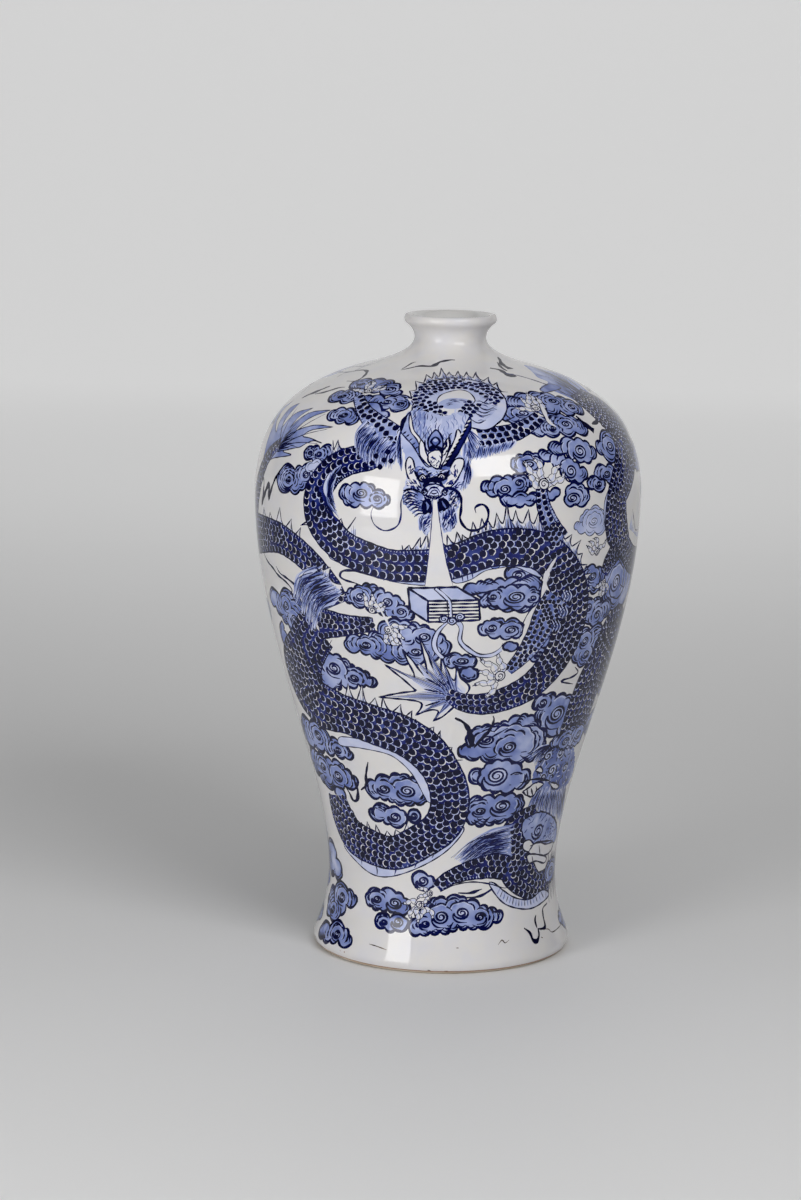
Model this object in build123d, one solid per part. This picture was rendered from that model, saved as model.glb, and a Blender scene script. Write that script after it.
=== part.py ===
from build123d import *
from math import cos, radians, sin
import os

# A tall meiping vase in glazed porcelain. It is thrown in five wall sections that stack with stepped
# joints, each joint luted with a thin coat of slip. A separate base disc is luted into the foot.
# Three coats of glaze then cover the outside, the inside and the hollow under the base.
# The origin is the centre of the foot, on the ground, and +Z runs up the axis of the vase.

# Rises, one stacked on the other from the ground to the crest of the lip
foot_rise = 6.0
waist_rise = 44.5
belly_rise = 253.0
shoulder_rise = 84.0
neck_rise = 17.3
lip_root_rise = 7.0
lip_rise = 4.8
crest_rise = 3.4

# Outer radii, over the glaze
foot_edge_radius = 81.0
foot_radius = 85.2
waist_radius = 75.6
belly_radius = 126.4
shoulder_radius = 52.6
neck_radius = 23.3
lip_root_radius = 26.2
lip_radius = 30.1
crest_radius = 27.5

# How far the profile leans from upright, in degrees: in where the shoulder turns up to the neck,
# and out where the neck turns into the rolled lip
shoulder_lean = 75.0
lip_root_lean = 42.0

# Thicknesses of the clay, the glaze and the luting slip
wall = 6.0
base_thickness = 9.0
glaze_thickness = 0.4
slip_thickness = 0.6

# The glazed bore of the neck, which takes a stopper or stems
bore_radius = 18.0
bore_length = 14.0

# The foot: a ring to stand on, round a shallow hollow under the base
foot_ring_width = 9.0
hollow_depth = 7.0
hollow_draft = 2.5
ring_bevel = 1.0
bare_foot_rise = 2.5

# The floor inside, where it turns up into the wall
floor_turn_radius = 18.0

# The stepped joints: the height of a step, and the land in the foot on which the base disc sits
lap_height = 4.0
neck_lap_height = 2.0
base_seat_margin = 1.6
base_land_width = 5.0

# How far cuts run past what they cut
overrun = 10.0

# Places of the joints, as shares of the rise or of the thickness that each one parts
lower_joint_share = 0.48
neck_joint_share = 0.6
lap_share = 0.5

# Handles of each span of the profile, as shares of its chord, at its lower and its upper end
foot_roll_shares = (0.4, 0.4)
foot_shares = (0.08, 0.58)
waist_shares = (0.265, 0.378)
belly_shares = (0.478, 0.383)
shoulder_shares = (0.447, 0.23)
neck_shares = (0.4, 0.3)
lip_root_shares = (0.35, 0.35)
lip_shares = (0.45, 0.5)
mouth_shares = (0.3, 0.25)

# Heights and radii that follow from these
waist_height = foot_rise + waist_rise
belly_height = waist_height + belly_rise
shoulder_height = belly_height + shoulder_rise
neck_height = shoulder_height + neck_rise
lip_root_height = neck_height + lip_root_rise
lip_height = lip_root_height + lip_rise
vase_height = lip_height + crest_rise
bore_top = neck_height + bore_length / 2
bore_bottom = neck_height - bore_length / 2
floor_height = hollow_depth + base_thickness
floor_radius = waist_radius - wall - floor_turn_radius
base_seat_radius = floor_radius - base_seat_margin
ring_inner_radius = foot_edge_radius - foot_ring_width
hollow_radius = ring_inner_radius - hollow_draft

# Directions in which the profile climbs through a station, and the outward normal of the shoulder's
up = Vector(0, 0, 1)
outward = Vector(1, 0, 0)
shoulder_way = Vector(-sin(radians(shoulder_lean)), 0, cos(radians(shoulder_lean)))
shoulder_normal = Vector(cos(radians(shoulder_lean)), 0, sin(radians(shoulder_lean)))
lip_root_way = Vector(sin(radians(lip_root_lean)), 0, cos(radians(lip_root_lean)))
lip_root_normal = Vector(cos(radians(lip_root_lean)), 0, -sin(radians(lip_root_lean)))


def at(radius, height):
    """A point of the half section, which lies in the XZ plane."""
    return Vector(radius, 0, height)


def span(start, start_way, end, end_way, shares):
    """A smooth span that leaves its start one way and meets its end another."""
    chord = (end - start).length
    return Bezier(start, start + start_way * (chord * shares[0]), end - end_way * (chord * shares[1]), end)


def outer_profile(depth):
    """The outside from the foot's edge up to the crest, at a depth under the surface of the glaze."""
    edge = at(foot_edge_radius, 0)
    foot = at(foot_radius - depth, foot_rise)
    waist = at(waist_radius - depth, waist_height)
    belly = at(belly_radius - depth, belly_height)
    shoulder = at(shoulder_radius, shoulder_height) - shoulder_normal * depth
    neck = at(neck_radius - depth, neck_height)
    lip_root = at(lip_root_radius, lip_root_height) - lip_root_normal * depth
    lip = at(lip_radius - depth, lip_height)
    crest = at(crest_radius, vase_height - depth)
    return [
        span(edge, outward, foot, up, foot_roll_shares),
        span(foot, up, waist, up, foot_shares),
        span(waist, up, belly, up, waist_shares),
        span(belly, up, shoulder, shoulder_way, belly_shares),
        span(shoulder, shoulder_way, neck, up, shoulder_shares),
        span(neck, up, lip_root, lip_root_way, neck_shares),
        span(lip_root, lip_root_way, lip, up, lip_root_shares),
        span(lip, up, crest, -outward, lip_shares),
    ]


def inner_profile(depth):
    """The inside from the middle of the floor up to the crest, at a depth under the surface of the glaze."""
    inset = wall - depth
    floor = floor_height - depth
    turn = floor_turn_radius + depth
    floor_edge = at(floor_radius, floor)
    turn_top = at(floor_radius + turn, floor + turn)
    waist = at(waist_radius - inset, waist_height)
    belly = at(belly_radius - inset, belly_height)
    shoulder = at(shoulder_radius, shoulder_height) - shoulder_normal * inset
    throat = at(bore_radius + depth, bore_bottom)
    mouth = at(bore_radius + depth, bore_top)
    crest = at(crest_radius, vase_height - depth)
    return [
        Line(at(0, floor), floor_edge),
        TangentArc(floor_edge, turn_top, tangent=outward),
        Line(turn_top, waist),
        span(waist, up, belly, up, waist_shares),
        span(belly, up, shoulder, shoulder_way, belly_shares),
        span(shoulder, shoulder_way, throat, up, shoulder_shares),
        Line(throat, mouth),
        span(mouth, up, crest, outward, mouth_shares),
    ]


def half_section(edges):
    """A flat face of the half section, from the edges that close it."""
    return make_face(Wire(edges))


def region(*points):
    """A flat region of the half plane, with straight sides."""
    return make_face(Polyline(*points, close=True))


# The clay from foot to crest, and the coats of glaze on it, before the clay is parted at its joints
outer_clay = outer_profile(glaze_thickness)
inner_clay = inner_profile(glaze_thickness)
foot_outline = Polyline(
    at(0, floor_height - glaze_thickness),
    at(0, hollow_depth),
    at(hollow_radius, hollow_depth),
    at(ring_inner_radius, ring_bevel),
    at(ring_inner_radius + ring_bevel, 0),
    at(foot_edge_radius, 0),
)
crest_cap = Line(at(crest_radius, vase_height - glaze_thickness), at(crest_radius, vase_height))
floor_cap = Line(at(0, floor_height - glaze_thickness), at(0, floor_height))
clay = half_section(outer_clay + inner_clay + foot_outline.edges())
outer_coat = half_section(outer_clay + outer_profile(0) + [crest_cap])
inner_coat = half_section(inner_clay + inner_profile(0) + [crest_cap, floor_cap])

# The joints of the wall: a point in the middle of the wall, and the height of the step there
lower_joint = (outer_clay[2] @ lower_joint_share + inner_clay[3] @ lower_joint_share) / 2
neck_joint = (outer_clay[4] @ neck_joint_share + inner_clay[5] @ neck_joint_share) / 2
wall_joints = [
    (at(waist_radius - wall * lap_share, waist_height), lap_height),
    (lower_joint, lap_height),
    (at(belly_radius - wall * lap_share, belly_height), lap_height),
    (neck_joint, neck_lap_height),
]
far_radius = belly_radius + overrun


def step_line(joint, lap, gap):
    """The stepped line across the wall at a joint. The inner half of the lower piece stands up by the lap."""
    return [
        at(far_radius, joint.Z + gap),
        at(joint.X + gap, joint.Z + gap),
        at(joint.X + gap, joint.Z + lap + gap),
        at(0, joint.Z + lap + gap),
    ]


def seat_line(gap):
    """The stepped line between the base disc and the foot. The disc's upper half rests on a land."""
    land_height = hollow_depth + base_thickness / 2
    return [
        at(base_seat_radius - base_land_width + gap, -overrun),
        at(base_seat_radius - base_land_width + gap, land_height - gap),
        at(base_seat_radius + gap, land_height - gap),
        at(base_seat_radius + gap, floor_height),
    ]


def between(lower, upper):
    """The clay that lies between two stepped lines, each drawn from its outer end to its inner end."""
    return clay & region(*lower, *reversed(upper))


def write(name, section):
    """Turns a half section round the axis and writes it as one sub-part."""
    export_step(revolve(section, Axis.Z), f"parts/{name}.step")


# The walls of clay, from the foot up, with the coats of slip that lute them together
lower_lines = [step_line(joint, lap, 0) for joint, lap in wall_joints]
upper_lines = [step_line(joint, lap, slip_thickness) for joint, lap in wall_joints]
ground_line = [at(far_radius, -overrun), at(0, -overrun)]
sky_line = [at(far_radius, vase_height + overrun), at(0, vase_height + overrun)]
bottoms = [ground_line, *upper_lines]
tops = [*lower_lines, sky_line]
foot_with_base, *walls = [between(bottom, top) for bottom, top in zip(bottoms, tops)]
slips = [between(lower, upper) for lower, upper in zip(lower_lines, upper_lines)]

# The base disc, and the slip that lutes it into the foot
axis_line = [at(0, floor_height), at(0, -overrun)]
base_disc = foot_with_base & region(*seat_line(0), *axis_line)
base_slip = foot_with_base & region(*seat_line(slip_thickness), *reversed(seat_line(0)))
foot = foot_with_base - region(*seat_line(slip_thickness), *axis_line)

# The glaze outside stops short of the foot's edge, and the glaze under the base short of the ring
above_bare_foot = region(
    at(0, bare_foot_rise),
    at(far_radius, bare_foot_rise),
    at(far_radius, vase_height + overrun),
    at(0, vase_height + overrun),
)
hollow_coat = region(
    at(0, hollow_depth - glaze_thickness),
    at(hollow_radius, hollow_depth - glaze_thickness),
    at(hollow_radius, hollow_depth),
    at(0, hollow_depth),
)

os.makedirs("parts", exist_ok=True)
write("foot_section", foot)
write("base_disc", base_disc)
for name, section in zip(["waist_section", "belly_section", "shoulder_section", "mouth_and_neck"], walls):
    write(name, section)
for name, section in zip(["foot_slip", "waist_slip", "belly_slip", "neck_slip"], slips):
    write(name, section)
write("base_slip", base_slip)
write("outer_glaze", outer_coat & above_bare_foot)
write("inner_glaze", inner_coat)
write("foot_hollow_glaze", hollow_coat)
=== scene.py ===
import math
import random
from collections import Counter

import bpy
import numpy as np
from mathutils import Matrix, Vector, noise
from mathutils.bvhtree import BVHTree
from mathutils.geometry import delaunay_2d_cdt


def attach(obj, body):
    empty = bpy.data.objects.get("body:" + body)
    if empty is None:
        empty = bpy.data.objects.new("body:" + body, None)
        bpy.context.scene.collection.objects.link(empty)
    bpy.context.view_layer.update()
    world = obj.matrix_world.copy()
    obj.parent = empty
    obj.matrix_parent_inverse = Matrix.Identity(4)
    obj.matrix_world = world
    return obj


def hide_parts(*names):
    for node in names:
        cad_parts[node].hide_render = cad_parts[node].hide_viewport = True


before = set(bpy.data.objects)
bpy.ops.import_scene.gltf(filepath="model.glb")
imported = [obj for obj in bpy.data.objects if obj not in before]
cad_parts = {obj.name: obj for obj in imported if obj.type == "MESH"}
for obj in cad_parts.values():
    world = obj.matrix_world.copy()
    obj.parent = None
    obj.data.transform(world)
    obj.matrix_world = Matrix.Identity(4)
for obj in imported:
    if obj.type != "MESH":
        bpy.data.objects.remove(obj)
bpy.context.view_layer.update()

# A meiping vase in blue and white porcelain. The cobalt painting is drawn here stroke by stroke, on the
# unrolled surface of the outer glaze. Lengths are in millimetres until the meshes are made, and points of
# the painting are pixels of the photograph, thrown back on to the vase by its camera.

MM = 0.001
chance = random.Random(20)

# The photograph's camera: its frame, focal length in pixels, place and tilts
FRAME_PX = (801, 1200)
CENTRE_PX = (400.5, 600.0)
FOCAL_PX = 3367.6
CAMERA_AT = (0.0, -2184.0, 624.9)
PITCH, ROLL, YAW = (math.radians(a) for a in (10.234, 0.770, 0.789))
SENSOR = 36.0
eye_right = np.array((math.cos(YAW), math.sin(YAW), 0.0))
eye_ahead = np.array((-math.sin(YAW) * math.cos(PITCH), math.cos(YAW) * math.cos(PITCH), -math.sin(PITCH)))
eye_up = np.array((-math.sin(YAW) * math.sin(PITCH), math.cos(YAW) * math.sin(PITCH), math.cos(PITCH)))

# The profile of the outer glaze: stations with radius, height and the way the profile climbs, in
# degrees from straight up towards the outside, then the two handles of each span as shares of its chord
STATIONS = (
    (81.0, 0.0, 90), (85.2, 6.0, 0), (75.6, 50.5, 0), (126.4, 303.5, 0), (52.6, 387.5, -75),
    (23.3, 404.8, 0), (26.2, 411.8, 42), (30.1, 416.6, 0), (27.5, 420.0, -90),
)
HANDLES = (
    (0.4, 0.4), (0.08, 0.58), (0.265, 0.378), (0.478, 0.383), (0.447, 0.23), (0.4, 0.3), (0.35, 0.35),
    (0.45, 0.5),
)
GLAZE_FROM = 2.5
GLAZE_DEPTH = 0.4
SPAN_STEPS = 240


def way(degrees):
    a = math.radians(degrees)
    return np.array((math.sin(a), math.cos(a)))


def climb():
    """The profile as rows of radius and height, finely stepped."""
    rows = []
    for (r0, z0, a0), (r1, z1, a1), (s0, s1) in zip(STATIONS, STATIONS[1:], HANDLES):
        p, q = np.array((r0, z0)), np.array((r1, z1))
        chord = np.linalg.norm(q - p)
        t = np.linspace(0, 1, SPAN_STEPS, endpoint=False)[:, None]
        c, d = p + way(a0) * chord * s0, q - way(a1) * chord * s1
        rows.append((1 - t) ** 3 * p + 3 * t * (1 - t) ** 2 * c + 3 * t * t * (1 - t) * d + t ** 3 * q)
    return np.vstack(rows + [np.array([STATIONS[-1][:2]])])


profile = climb()
first = int(np.argmax(profile[:, 1] > GLAZE_FROM))
start_row = [np.interp(GLAZE_FROM, profile[:, 1], profile[:, 0]), GLAZE_FROM]
profile = np.vstack([[start_row], profile[first:]])
prof_r, prof_z = profile[:, 0], profile[:, 1]
prof_s = np.concatenate([[0.0], np.cumsum(np.hypot(np.diff(prof_r), np.diff(prof_z)))])
slope = np.gradient(profile, prof_s, axis=0)
slope /= np.linalg.norm(slope, axis=1)[:, None]

# The painting lies on the unrolled surface: across is the angle times UNROLL, up is the way along the
# profile. A mark keeps its true size because sideways lengths are stretched by UNROLL over the radius.
UNROLL = 100.0
HALF_TURN = math.pi * UNROLL
LENGTH = float(prof_s[-1])


def radius_at(s):
    return np.interp(s, prof_s, prof_r)


# Depths from the vase's axis at which a line of sight is tried, nearest first
SIGHT_DEPTHS = np.arange(-130.0, 30.0, 1.0)


def thrown(px):
    """Where lines of sight through pixels of the photograph first meet the vase, unrolled."""
    px = np.asarray(px, float).reshape(-1, 2) - CENTRE_PX
    across = (math.cos(ROLL) * px[:, 0] + math.sin(ROLL) * px[:, 1]) / FOCAL_PX
    down = (-math.sin(ROLL) * px[:, 0] + math.cos(ROLL) * px[:, 1]) / FOCAL_PX
    ray = eye_ahead + across[:, None] * eye_right - down[:, None] * eye_up
    far = (-CAMERA_AT[1] + SIGHT_DEPTHS) / ray[:, 1:2]
    at = np.array(CAMERA_AT) + far[:, :, None] * ray[:, None, :]
    gap = np.hypot(at[..., 0], at[..., 1]) - np.interp(at[..., 2], prof_z, prof_r)
    out = []
    for g, p in zip(gap, at):
        k = int(np.argmax(g < 0)) if (g < 0).any() else -1
        if k > 0:
            share = g[k - 1] / (g[k - 1] - g[k])
            hit = p[k - 1] + (p[k] - p[k - 1]) * share
        else:
            hit = p[int(np.argmin(g))]
        out.append((math.atan2(hit[0], -hit[1]) * UNROLL, np.interp(hit[2], prof_z, prof_s)))
    return np.array(out)


def points(text, turn=0.0):
    """Reads points from text: x,y is a pixel, @a,z an angle and a height, and a ! after it is a corner."""
    flat, corner = [], []
    for word in text.split():
        corner.append(word.endswith("!"))
        word = word.rstrip("!")
        a, b = (float(v) for v in word.lstrip("@").split(","))
        if word[0] == "@":
            flat.append((math.radians(a) * UNROLL, float(np.interp(b, prof_z, prof_s))))
        else:
            flat.append(tuple(thrown((a, b))[0]))
        flat[-1] = (flat[-1][0] + math.radians(turn) * UNROLL, flat[-1][1])
    return np.array(flat), corner


def span_between(p, q):
    """The true distance between two unrolled points."""
    k = float(radius_at((p[1] + q[1]) / 2)) / UNROLL
    return math.hypot((q[0] - p[0]) * k, q[1] - p[1])


def smooth(ctrl, corner=None, closed=False, step=1.4):
    """A smooth line through unrolled points, sharp at the corners, stepped evenly."""
    n = len(ctrl)
    corner = corner or [False] * n
    if not closed:
        corner = [True] + list(corner[1:-1]) + [True]
    out = []
    for i in range(n if closed else n - 1):
        p, q = ctrl[i], ctrl[(i + 1) % n]
        before = ctrl[i - 1] if not corner[i] else 2 * p - q
        after = ctrl[(i + 2) % n] if not corner[(i + 1) % n] else 2 * q - p
        k = max(1, math.ceil(span_between(p, q) / step))
        for t in (j / k for j in range(k)):
            out.append(0.5 * (2 * p + (q - before) * t + (2 * before - 5 * p + 4 * q - after) * t * t
                              + (3 * p - before - 3 * q + after) * t ** 3))
    if not closed:
        out.append(ctrl[-1])
    return np.array(out)


def line(text, turn=0.0, closed=False, step=1.4):
    ctrl, corner = points(text, turn)
    return smooth(ctrl, corner, closed, step)


def sides(track, closed=False):
    """The true sideways direction at each point of a line, to the left of its way."""
    k = radius_at(track[:, 1]) / UNROLL
    if closed:
        ahead = np.roll(track, -1, 0) - np.roll(track, 1, 0)
    else:
        ahead = np.gradient(track, axis=0)
    ahead = ahead * np.stack([k, np.ones_like(k)], 1)
    ahead /= np.maximum(np.linalg.norm(ahead, axis=1), 1e-9)[:, None]
    return np.stack([-ahead[:, 1], ahead[:, 0]], 1)


def shifted(track, normal, by):
    """A line moved sideways by true lengths."""
    by = np.broadcast_to(by, len(track))
    k = UNROLL / radius_at(track[:, 1])
    return track + np.stack([normal[:, 0] * by * k, normal[:, 1] * by], 1)


# Inks: how much cobalt lies there from 0 to 1, how unevenly, how much more where it pools along the
# edge, and the tone, low for cobalt and high for iron
INKS = {
    "glaze": (0.015, 0.012, 0.0, 0.15),
    "white": (0.03, 0.02, 0.0, 0.15),
    "mist": (0.12, 0.07, 0.05, 0.2),
    "pale": (0.2, 0.09, 0.07, 0.25),
    "wash": (0.33, 0.12, 0.14, 0.3),
    "deep": (0.45, 0.12, 0.10, 0.3),
    "hair": (0.82, 0.12, 0.0, 0.35),
    "thin": (0.80, 0.08, 0.0, 0.3),
    "ink": (0.93, 0.05, 0.0, 0.3),
    "dark": (0.97, 0.02, 0.0, 0.3),
    "iron": (0.75, 0.2, 0.0, 0.92),
}
INK_NAMES = list(INKS)
painted = []

# Shares of a stroke's length over which its two ends thin, and how its width wavers along it
TAPER = (0.35, 0.35)
WAVER, WAVER_PACE = 0.22, 0.9


def add(shape, ink):
    """Paints one flat area over everything painted before it."""
    shape = np.asarray(shape, float)
    x, y = shape[:, 0], shape[:, 1]
    turned = float(np.dot(x, np.roll(y, -1)) - np.dot(y, np.roll(x, -1)))
    if abs(turned) > 1e-3:
        painted.append((shape if turned > 0 else shape[::-1], INK_NAMES.index(ink)))


def ribbon(left, right, ink, closed=False):
    """Fills between two lines of the same number of points."""
    n = len(left)
    for i in range(n if closed else n - 1):
        j = (i + 1) % n
        a, b, c, d = right[i], right[j], left[j], left[i]
        one = (b[0] - a[0]) * (c[1] - a[1]) - (b[1] - a[1]) * (c[0] - a[0])
        two = (c[0] - a[0]) * (d[1] - a[1]) - (c[1] - a[1]) * (d[0] - a[0])
        if one * two > 0:
            add((a, b, c, d), ink)
        else:
            add((a, b, c), ink)
            add((a, c, d), ink)


def stroke(track, width, ink="ink", ends=TAPER, closed=False):
    """One stroke of the brush, thinner towards its ends."""
    t = np.linspace(0, 1, len(track))
    waver = WAVER * np.sin(np.arange(len(track)) * WAVER_PACE + chance.uniform(0, 6.3))
    half = width / 2 * (1 + waver)
    if not closed:
        for share, run in ((ends[0], t), (ends[1], 1 - t)):
            if share > 0:
                half = half * np.clip(0.3 + 0.7 * run / share, 0, 1)
    normal = sides(track, closed)
    left, right = shifted(track, normal, half), shifted(track, normal, -half)
    if not closed and len(track) < 10:
        add(np.vstack([left, right[::-1]]), ink)
    else:
        ribbon(left, right, ink, closed)


def pen(text, width=0.85, ink="ink", turn=0.0, ends=TAPER, step=1.4):
    """One open stroke through points given as text."""
    stroke(line(text, turn, step=step), width, ink, ends)


def area(text, ink, turn=0.0, edge=0.0, edge_ink="ink", rough=0.0):
    """A smooth closed area, with a drawn edge when that has a width. Rough is how far the edge wanders."""
    track = line(text, turn, closed=True)
    if rough:
        i = np.arange(len(track))
        wave = np.sin(i * 1.7 + chance.uniform(0, 6.3)) + 0.7 * np.sin(i * 2.9 + chance.uniform(0, 6.3))
        track = shifted(track, sides(track, True), wave * rough * 0.6)
    add(track, ink)
    if edge:
        stroke(track, edge, edge_ink, closed=True)


def curl(at, size, turns=1.6, start=0.0, flat=0.8, hand=1, width=0.75, ink="ink"):
    """A spiral, wound inwards from its rim."""
    n = max(10, int(turns * 14))
    t = np.linspace(0, 1, n)
    a = math.radians(start) + hand * 2 * math.pi * turns * t
    rim = size * (1 - 0.86 * t ** 0.85)
    k = UNROLL / float(radius_at(at[1]))
    stroke(at + np.stack([np.cos(a) * rim * k, np.sin(a) * rim * flat], 1), width, ink, (0.0, 0.3))


def scalloped(ctrl, bulge):
    """A closed line of small round lobes from one point to the next."""
    k = radius_at(ctrl[:, 1]) / UNROLL
    x, y = ctrl[:, 0], ctrl[:, 1]
    side = 1 if np.dot(x, np.roll(y, -1)) > np.dot(y, np.roll(x, -1)) else -1
    out, ends = [], [0]
    for i, p in enumerate(ctrl):
        q = ctrl[(i + 1) % len(ctrl)]
        true = np.array(((q[0] - p[0]) * k[i], q[1] - p[1]))
        n = max(3, round(np.linalg.norm(true) / 1.5))
        lift = np.array((true[1], -true[0])) * side * bulge * 4
        for t in (j / n for j in range(n)):
            swell = lift * t * (1 - t)
            out.append(p + (q - p) * t + np.array((swell[0] / k[i], swell[1])))
        ends.append(len(out))
    return np.array(out), ends


def spot(word, turn):
    """Reads a point and the numbers that follow it."""
    x, y, *rest = (float(v) for v in word.lstrip("@").split(","))
    return points(f"{'@' if word[0] == '@' else ''}{x},{y}", turn)[0][0], rest


OVAL_POINTS = 15


def oval(at, wide, tall):
    a = np.linspace(0, 2 * math.pi, OVAL_POINTS + 1)[:-1]
    return at + np.stack([np.cos(a) * wide * UNROLL / float(radius_at(at[1])), np.sin(a) * tall], 1)


def inside(p, edge):
    """Whether a point lies inside a closed unrolled line."""
    after = np.roll(edge, -1, 0)
    cross = (edge[:, 1] > p[1]) != (after[:, 1] > p[1])
    rise = np.where(cross, after[:, 1] - edge[:, 1], 1.0)
    meet = edge[:, 0] + (p[1] - edge[:, 1]) * (after[:, 0] - edge[:, 0]) / rise
    return int((cross & (meet > p[0])).sum()) % 2 == 1


# How far the lobes of a cloud swell, the depths of the rows inside them with the odds that a row goes on,
# and the rings of lobes round a curl: each one's size in sizes of the curl, and how many lobes it has
LOBE_BULGE = 0.27
LOBE_ROWS = ((2.1, 0.9), (4.1, 0.8), (6.2, 0.7), (8.3, 0.6))
RING_BULGE = 0.24
CURL_RINGS = ((3.1, 8), (2.3, 7), (1.6, 5))


def cloud(text, curls="", ink="wash", turn=0.0, width=1.5):
    """A cloud with lobes from point to point, lines that follow them inside, and curls that each sit under
    rows of lobes. Each curl is x,y,size,turns,start,flat."""
    ctrl = points(text, turn)[0]
    track, ends = scalloped(ctrl, LOBE_BULGE)
    add(track, ink)
    k = radius_at(ctrl[:, 1]) / UNROLL
    middle = ctrl.mean(0)
    paler = "pale" if ink == "wash" else "mist"
    rows = [spot(word, turn) for word in curls.split()]
    for i, (a, b) in enumerate(zip(ends, ends[1:])):
        far = np.linalg.norm((track[a:b + 1] - middle) * (k[i], 1), axis=1)
        for depth, odds in LOBE_ROWS:
            if far.min() < depth + 2.5 or chance.random() > odds:
                break
            lobe = middle + (track[a:b + 1] - middle) * (1 - depth / far)[:, None]
            if all(np.linalg.norm((lobe - p) * (k[i], 1), axis=1).min() > rest[0] * 1.2 for p, rest in rows):
                stroke(lobe, width * 0.8, "ink", (0.4, 0.4))
    stroke(track, width, "ink", closed=True)
    for at, (size, turns, start, flat) in sorted(rows, key=lambda row: row[1][0]):
        k = UNROLL / float(radius_at(at[1]))
        side, hand = (1 if start == 0 else -1), (1 if turns > 0 else -1)
        rivals = [row for row in rows if row[0] is not at]
        for ring, count in CURL_RINGS:
            arc = np.radians(np.linspace(-30, 210, count + 1) + chance.uniform(-9, 9))
            away = np.stack([np.cos(arc) * k, np.sin(arc) * flat * 1.02], 1) * size * ring
            lobes, stops = scalloped(at + away, RING_BULGE)
            for a, b in zip(stops[:-1], stops[1:-1]):
                lobe = lobes[a:b + 1]
                wide = at + (lobe[::2] - at) * 1.05
                if not all(inside(p, track) for p in wide):
                    continue
                if any(np.linalg.norm((lobe - r[0]) / (k, 1), axis=1).min() < r[1][0] * 1.25
                        for r in rivals):
                    continue
                add(np.vstack([lobe, at[None]]), ink)
                ribbon(lobe, at + (lobe - at) * (0.86 if ring < 2 else 0.92), paler)
                stroke(lobe, width * 0.8, "ink", (0.2, 0.2))
        add(oval(at, size * 1.04, size * flat * 1.04), ink)
        add(oval(at + (0, 0.12 * size), size * 0.7, size * flat * 0.7), paler)
        curl(at, size, abs(turns) + 0.35, start, flat, hand, width * 0.8)
        # The tail of the curl, running out along the cloud
        tail = at + np.array([
            (side * size * k, 0),
            (side * size * 1.06 * k, -size * flat * 0.7),
            (side * size * 0.5 * k, -size * flat * 1.35),
            (-side * size * 0.6 * k, -size * flat * 1.45),
        ])
        stroke(smooth(tail), width * 0.75, "ink", (0.1, 0.6))


def billow(angle, height, wide, tall, turn, curls=""):
    """A cloud as an uneven oval round a point given by angle and height, for the sides of the vase."""
    r = float(np.interp(height, prof_z, prof_r))
    n = max(8, int((wide + tall) * 0.33))
    words = []
    for i in range(n):
        a = 2 * math.pi * (i + chance.uniform(-0.2, 0.2)) / n
        f = chance.uniform(0.85, 1.12) * (1.0 if math.sin(a) > 0 else 0.8)
        across, up = wide / 2 * f * math.cos(a), tall / 2 * f * math.sin(a)
        words.append(f"@{angle + math.degrees(across / r)},{height + up}")
    cloud(" ".join(words), curls, turn=turn)


def hairs(roots, tips, count, width=0.6, ink="hair", turn=0.0, wander=1.0, bow=0.0):
    """Fine strokes from one line to another."""
    a, b = line(roots, turn), line(tips, turn)
    for i in range(count):
        t = (i + 0.5 + 0.5 * wander * (chance.random() - 0.5)) / count
        reach = 1 - 0.35 * wander * chance.random()
        p = np.array([np.interp(t * (len(a) - 1), range(len(a)), a[:, c]) for c in (0, 1)])
        q = np.array([np.interp(t * (len(b) - 1), range(len(b)), b[:, c]) for c in (0, 1)])
        p, q = p + (q - p) * chance.uniform(-0.06, 0.3) * wander, p + (q - p) * reach
        mid = (p + q) / 2 + np.array((q[1] - p[1],
            p[0] - q[0])) * (bow + 0.12 * wander * (chance.random() - 0.5))
        stroke(smooth(np.array((p, mid, q)), step=2.5), width * (0.7 + 0.6 * chance.random()), ink,
            (0.1, 0.7))


def band(text, widths, turn=0.0):
    """Middle points of a band and its true half widths there, from its widths in pixels."""
    flat, corner = points(text, turn)
    half = np.array(widths, float) / 3
    pixels = [None if w[0] == "@" else np.array([float(v) for v in w.rstrip("!").split(",")])
              for w in text.split()]
    for i, p in enumerate(pixels):
        ends = [q for q in pixels[max(i - 1, 0):i + 2] if q is not None]
        if p is None or len(ends) < 2:
            continue
        along = ends[-1] - ends[0]
        off = np.array((-along[1], along[0])) / np.linalg.norm(along) * widths[i] / 2
        two = thrown((p + off, p - off))
        half[i] = span_between(two[0], two[1]) / 2
        flat[i] = two.mean(0) + (math.radians(turn) * UNROLL, 0)
    return flat, corner, half


# The coats of a tuft: each one's share of the strokes, their width and their ink
TUFT_COATS = ((0.8, 2.4, "mist"), (0.7, 1.5, "pale"), (0.7, 1.0, "wash"), (0.6, 0.7, "deep"),
    (0.6, 0.55, "hair"))


def tuft(roots, ends, count, turn=0.0, bow=0.0, dark=0.3, wander=1.0):
    """Hair as a painter builds it up: broad pale strokes, then finer and darker ones."""
    for share, width, ink in (*TUFT_COATS, (dark, 0.6, "ink")):
        hairs(roots, ends, max(2, int(count * share)), width, ink, turn, wander, bow)


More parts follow.
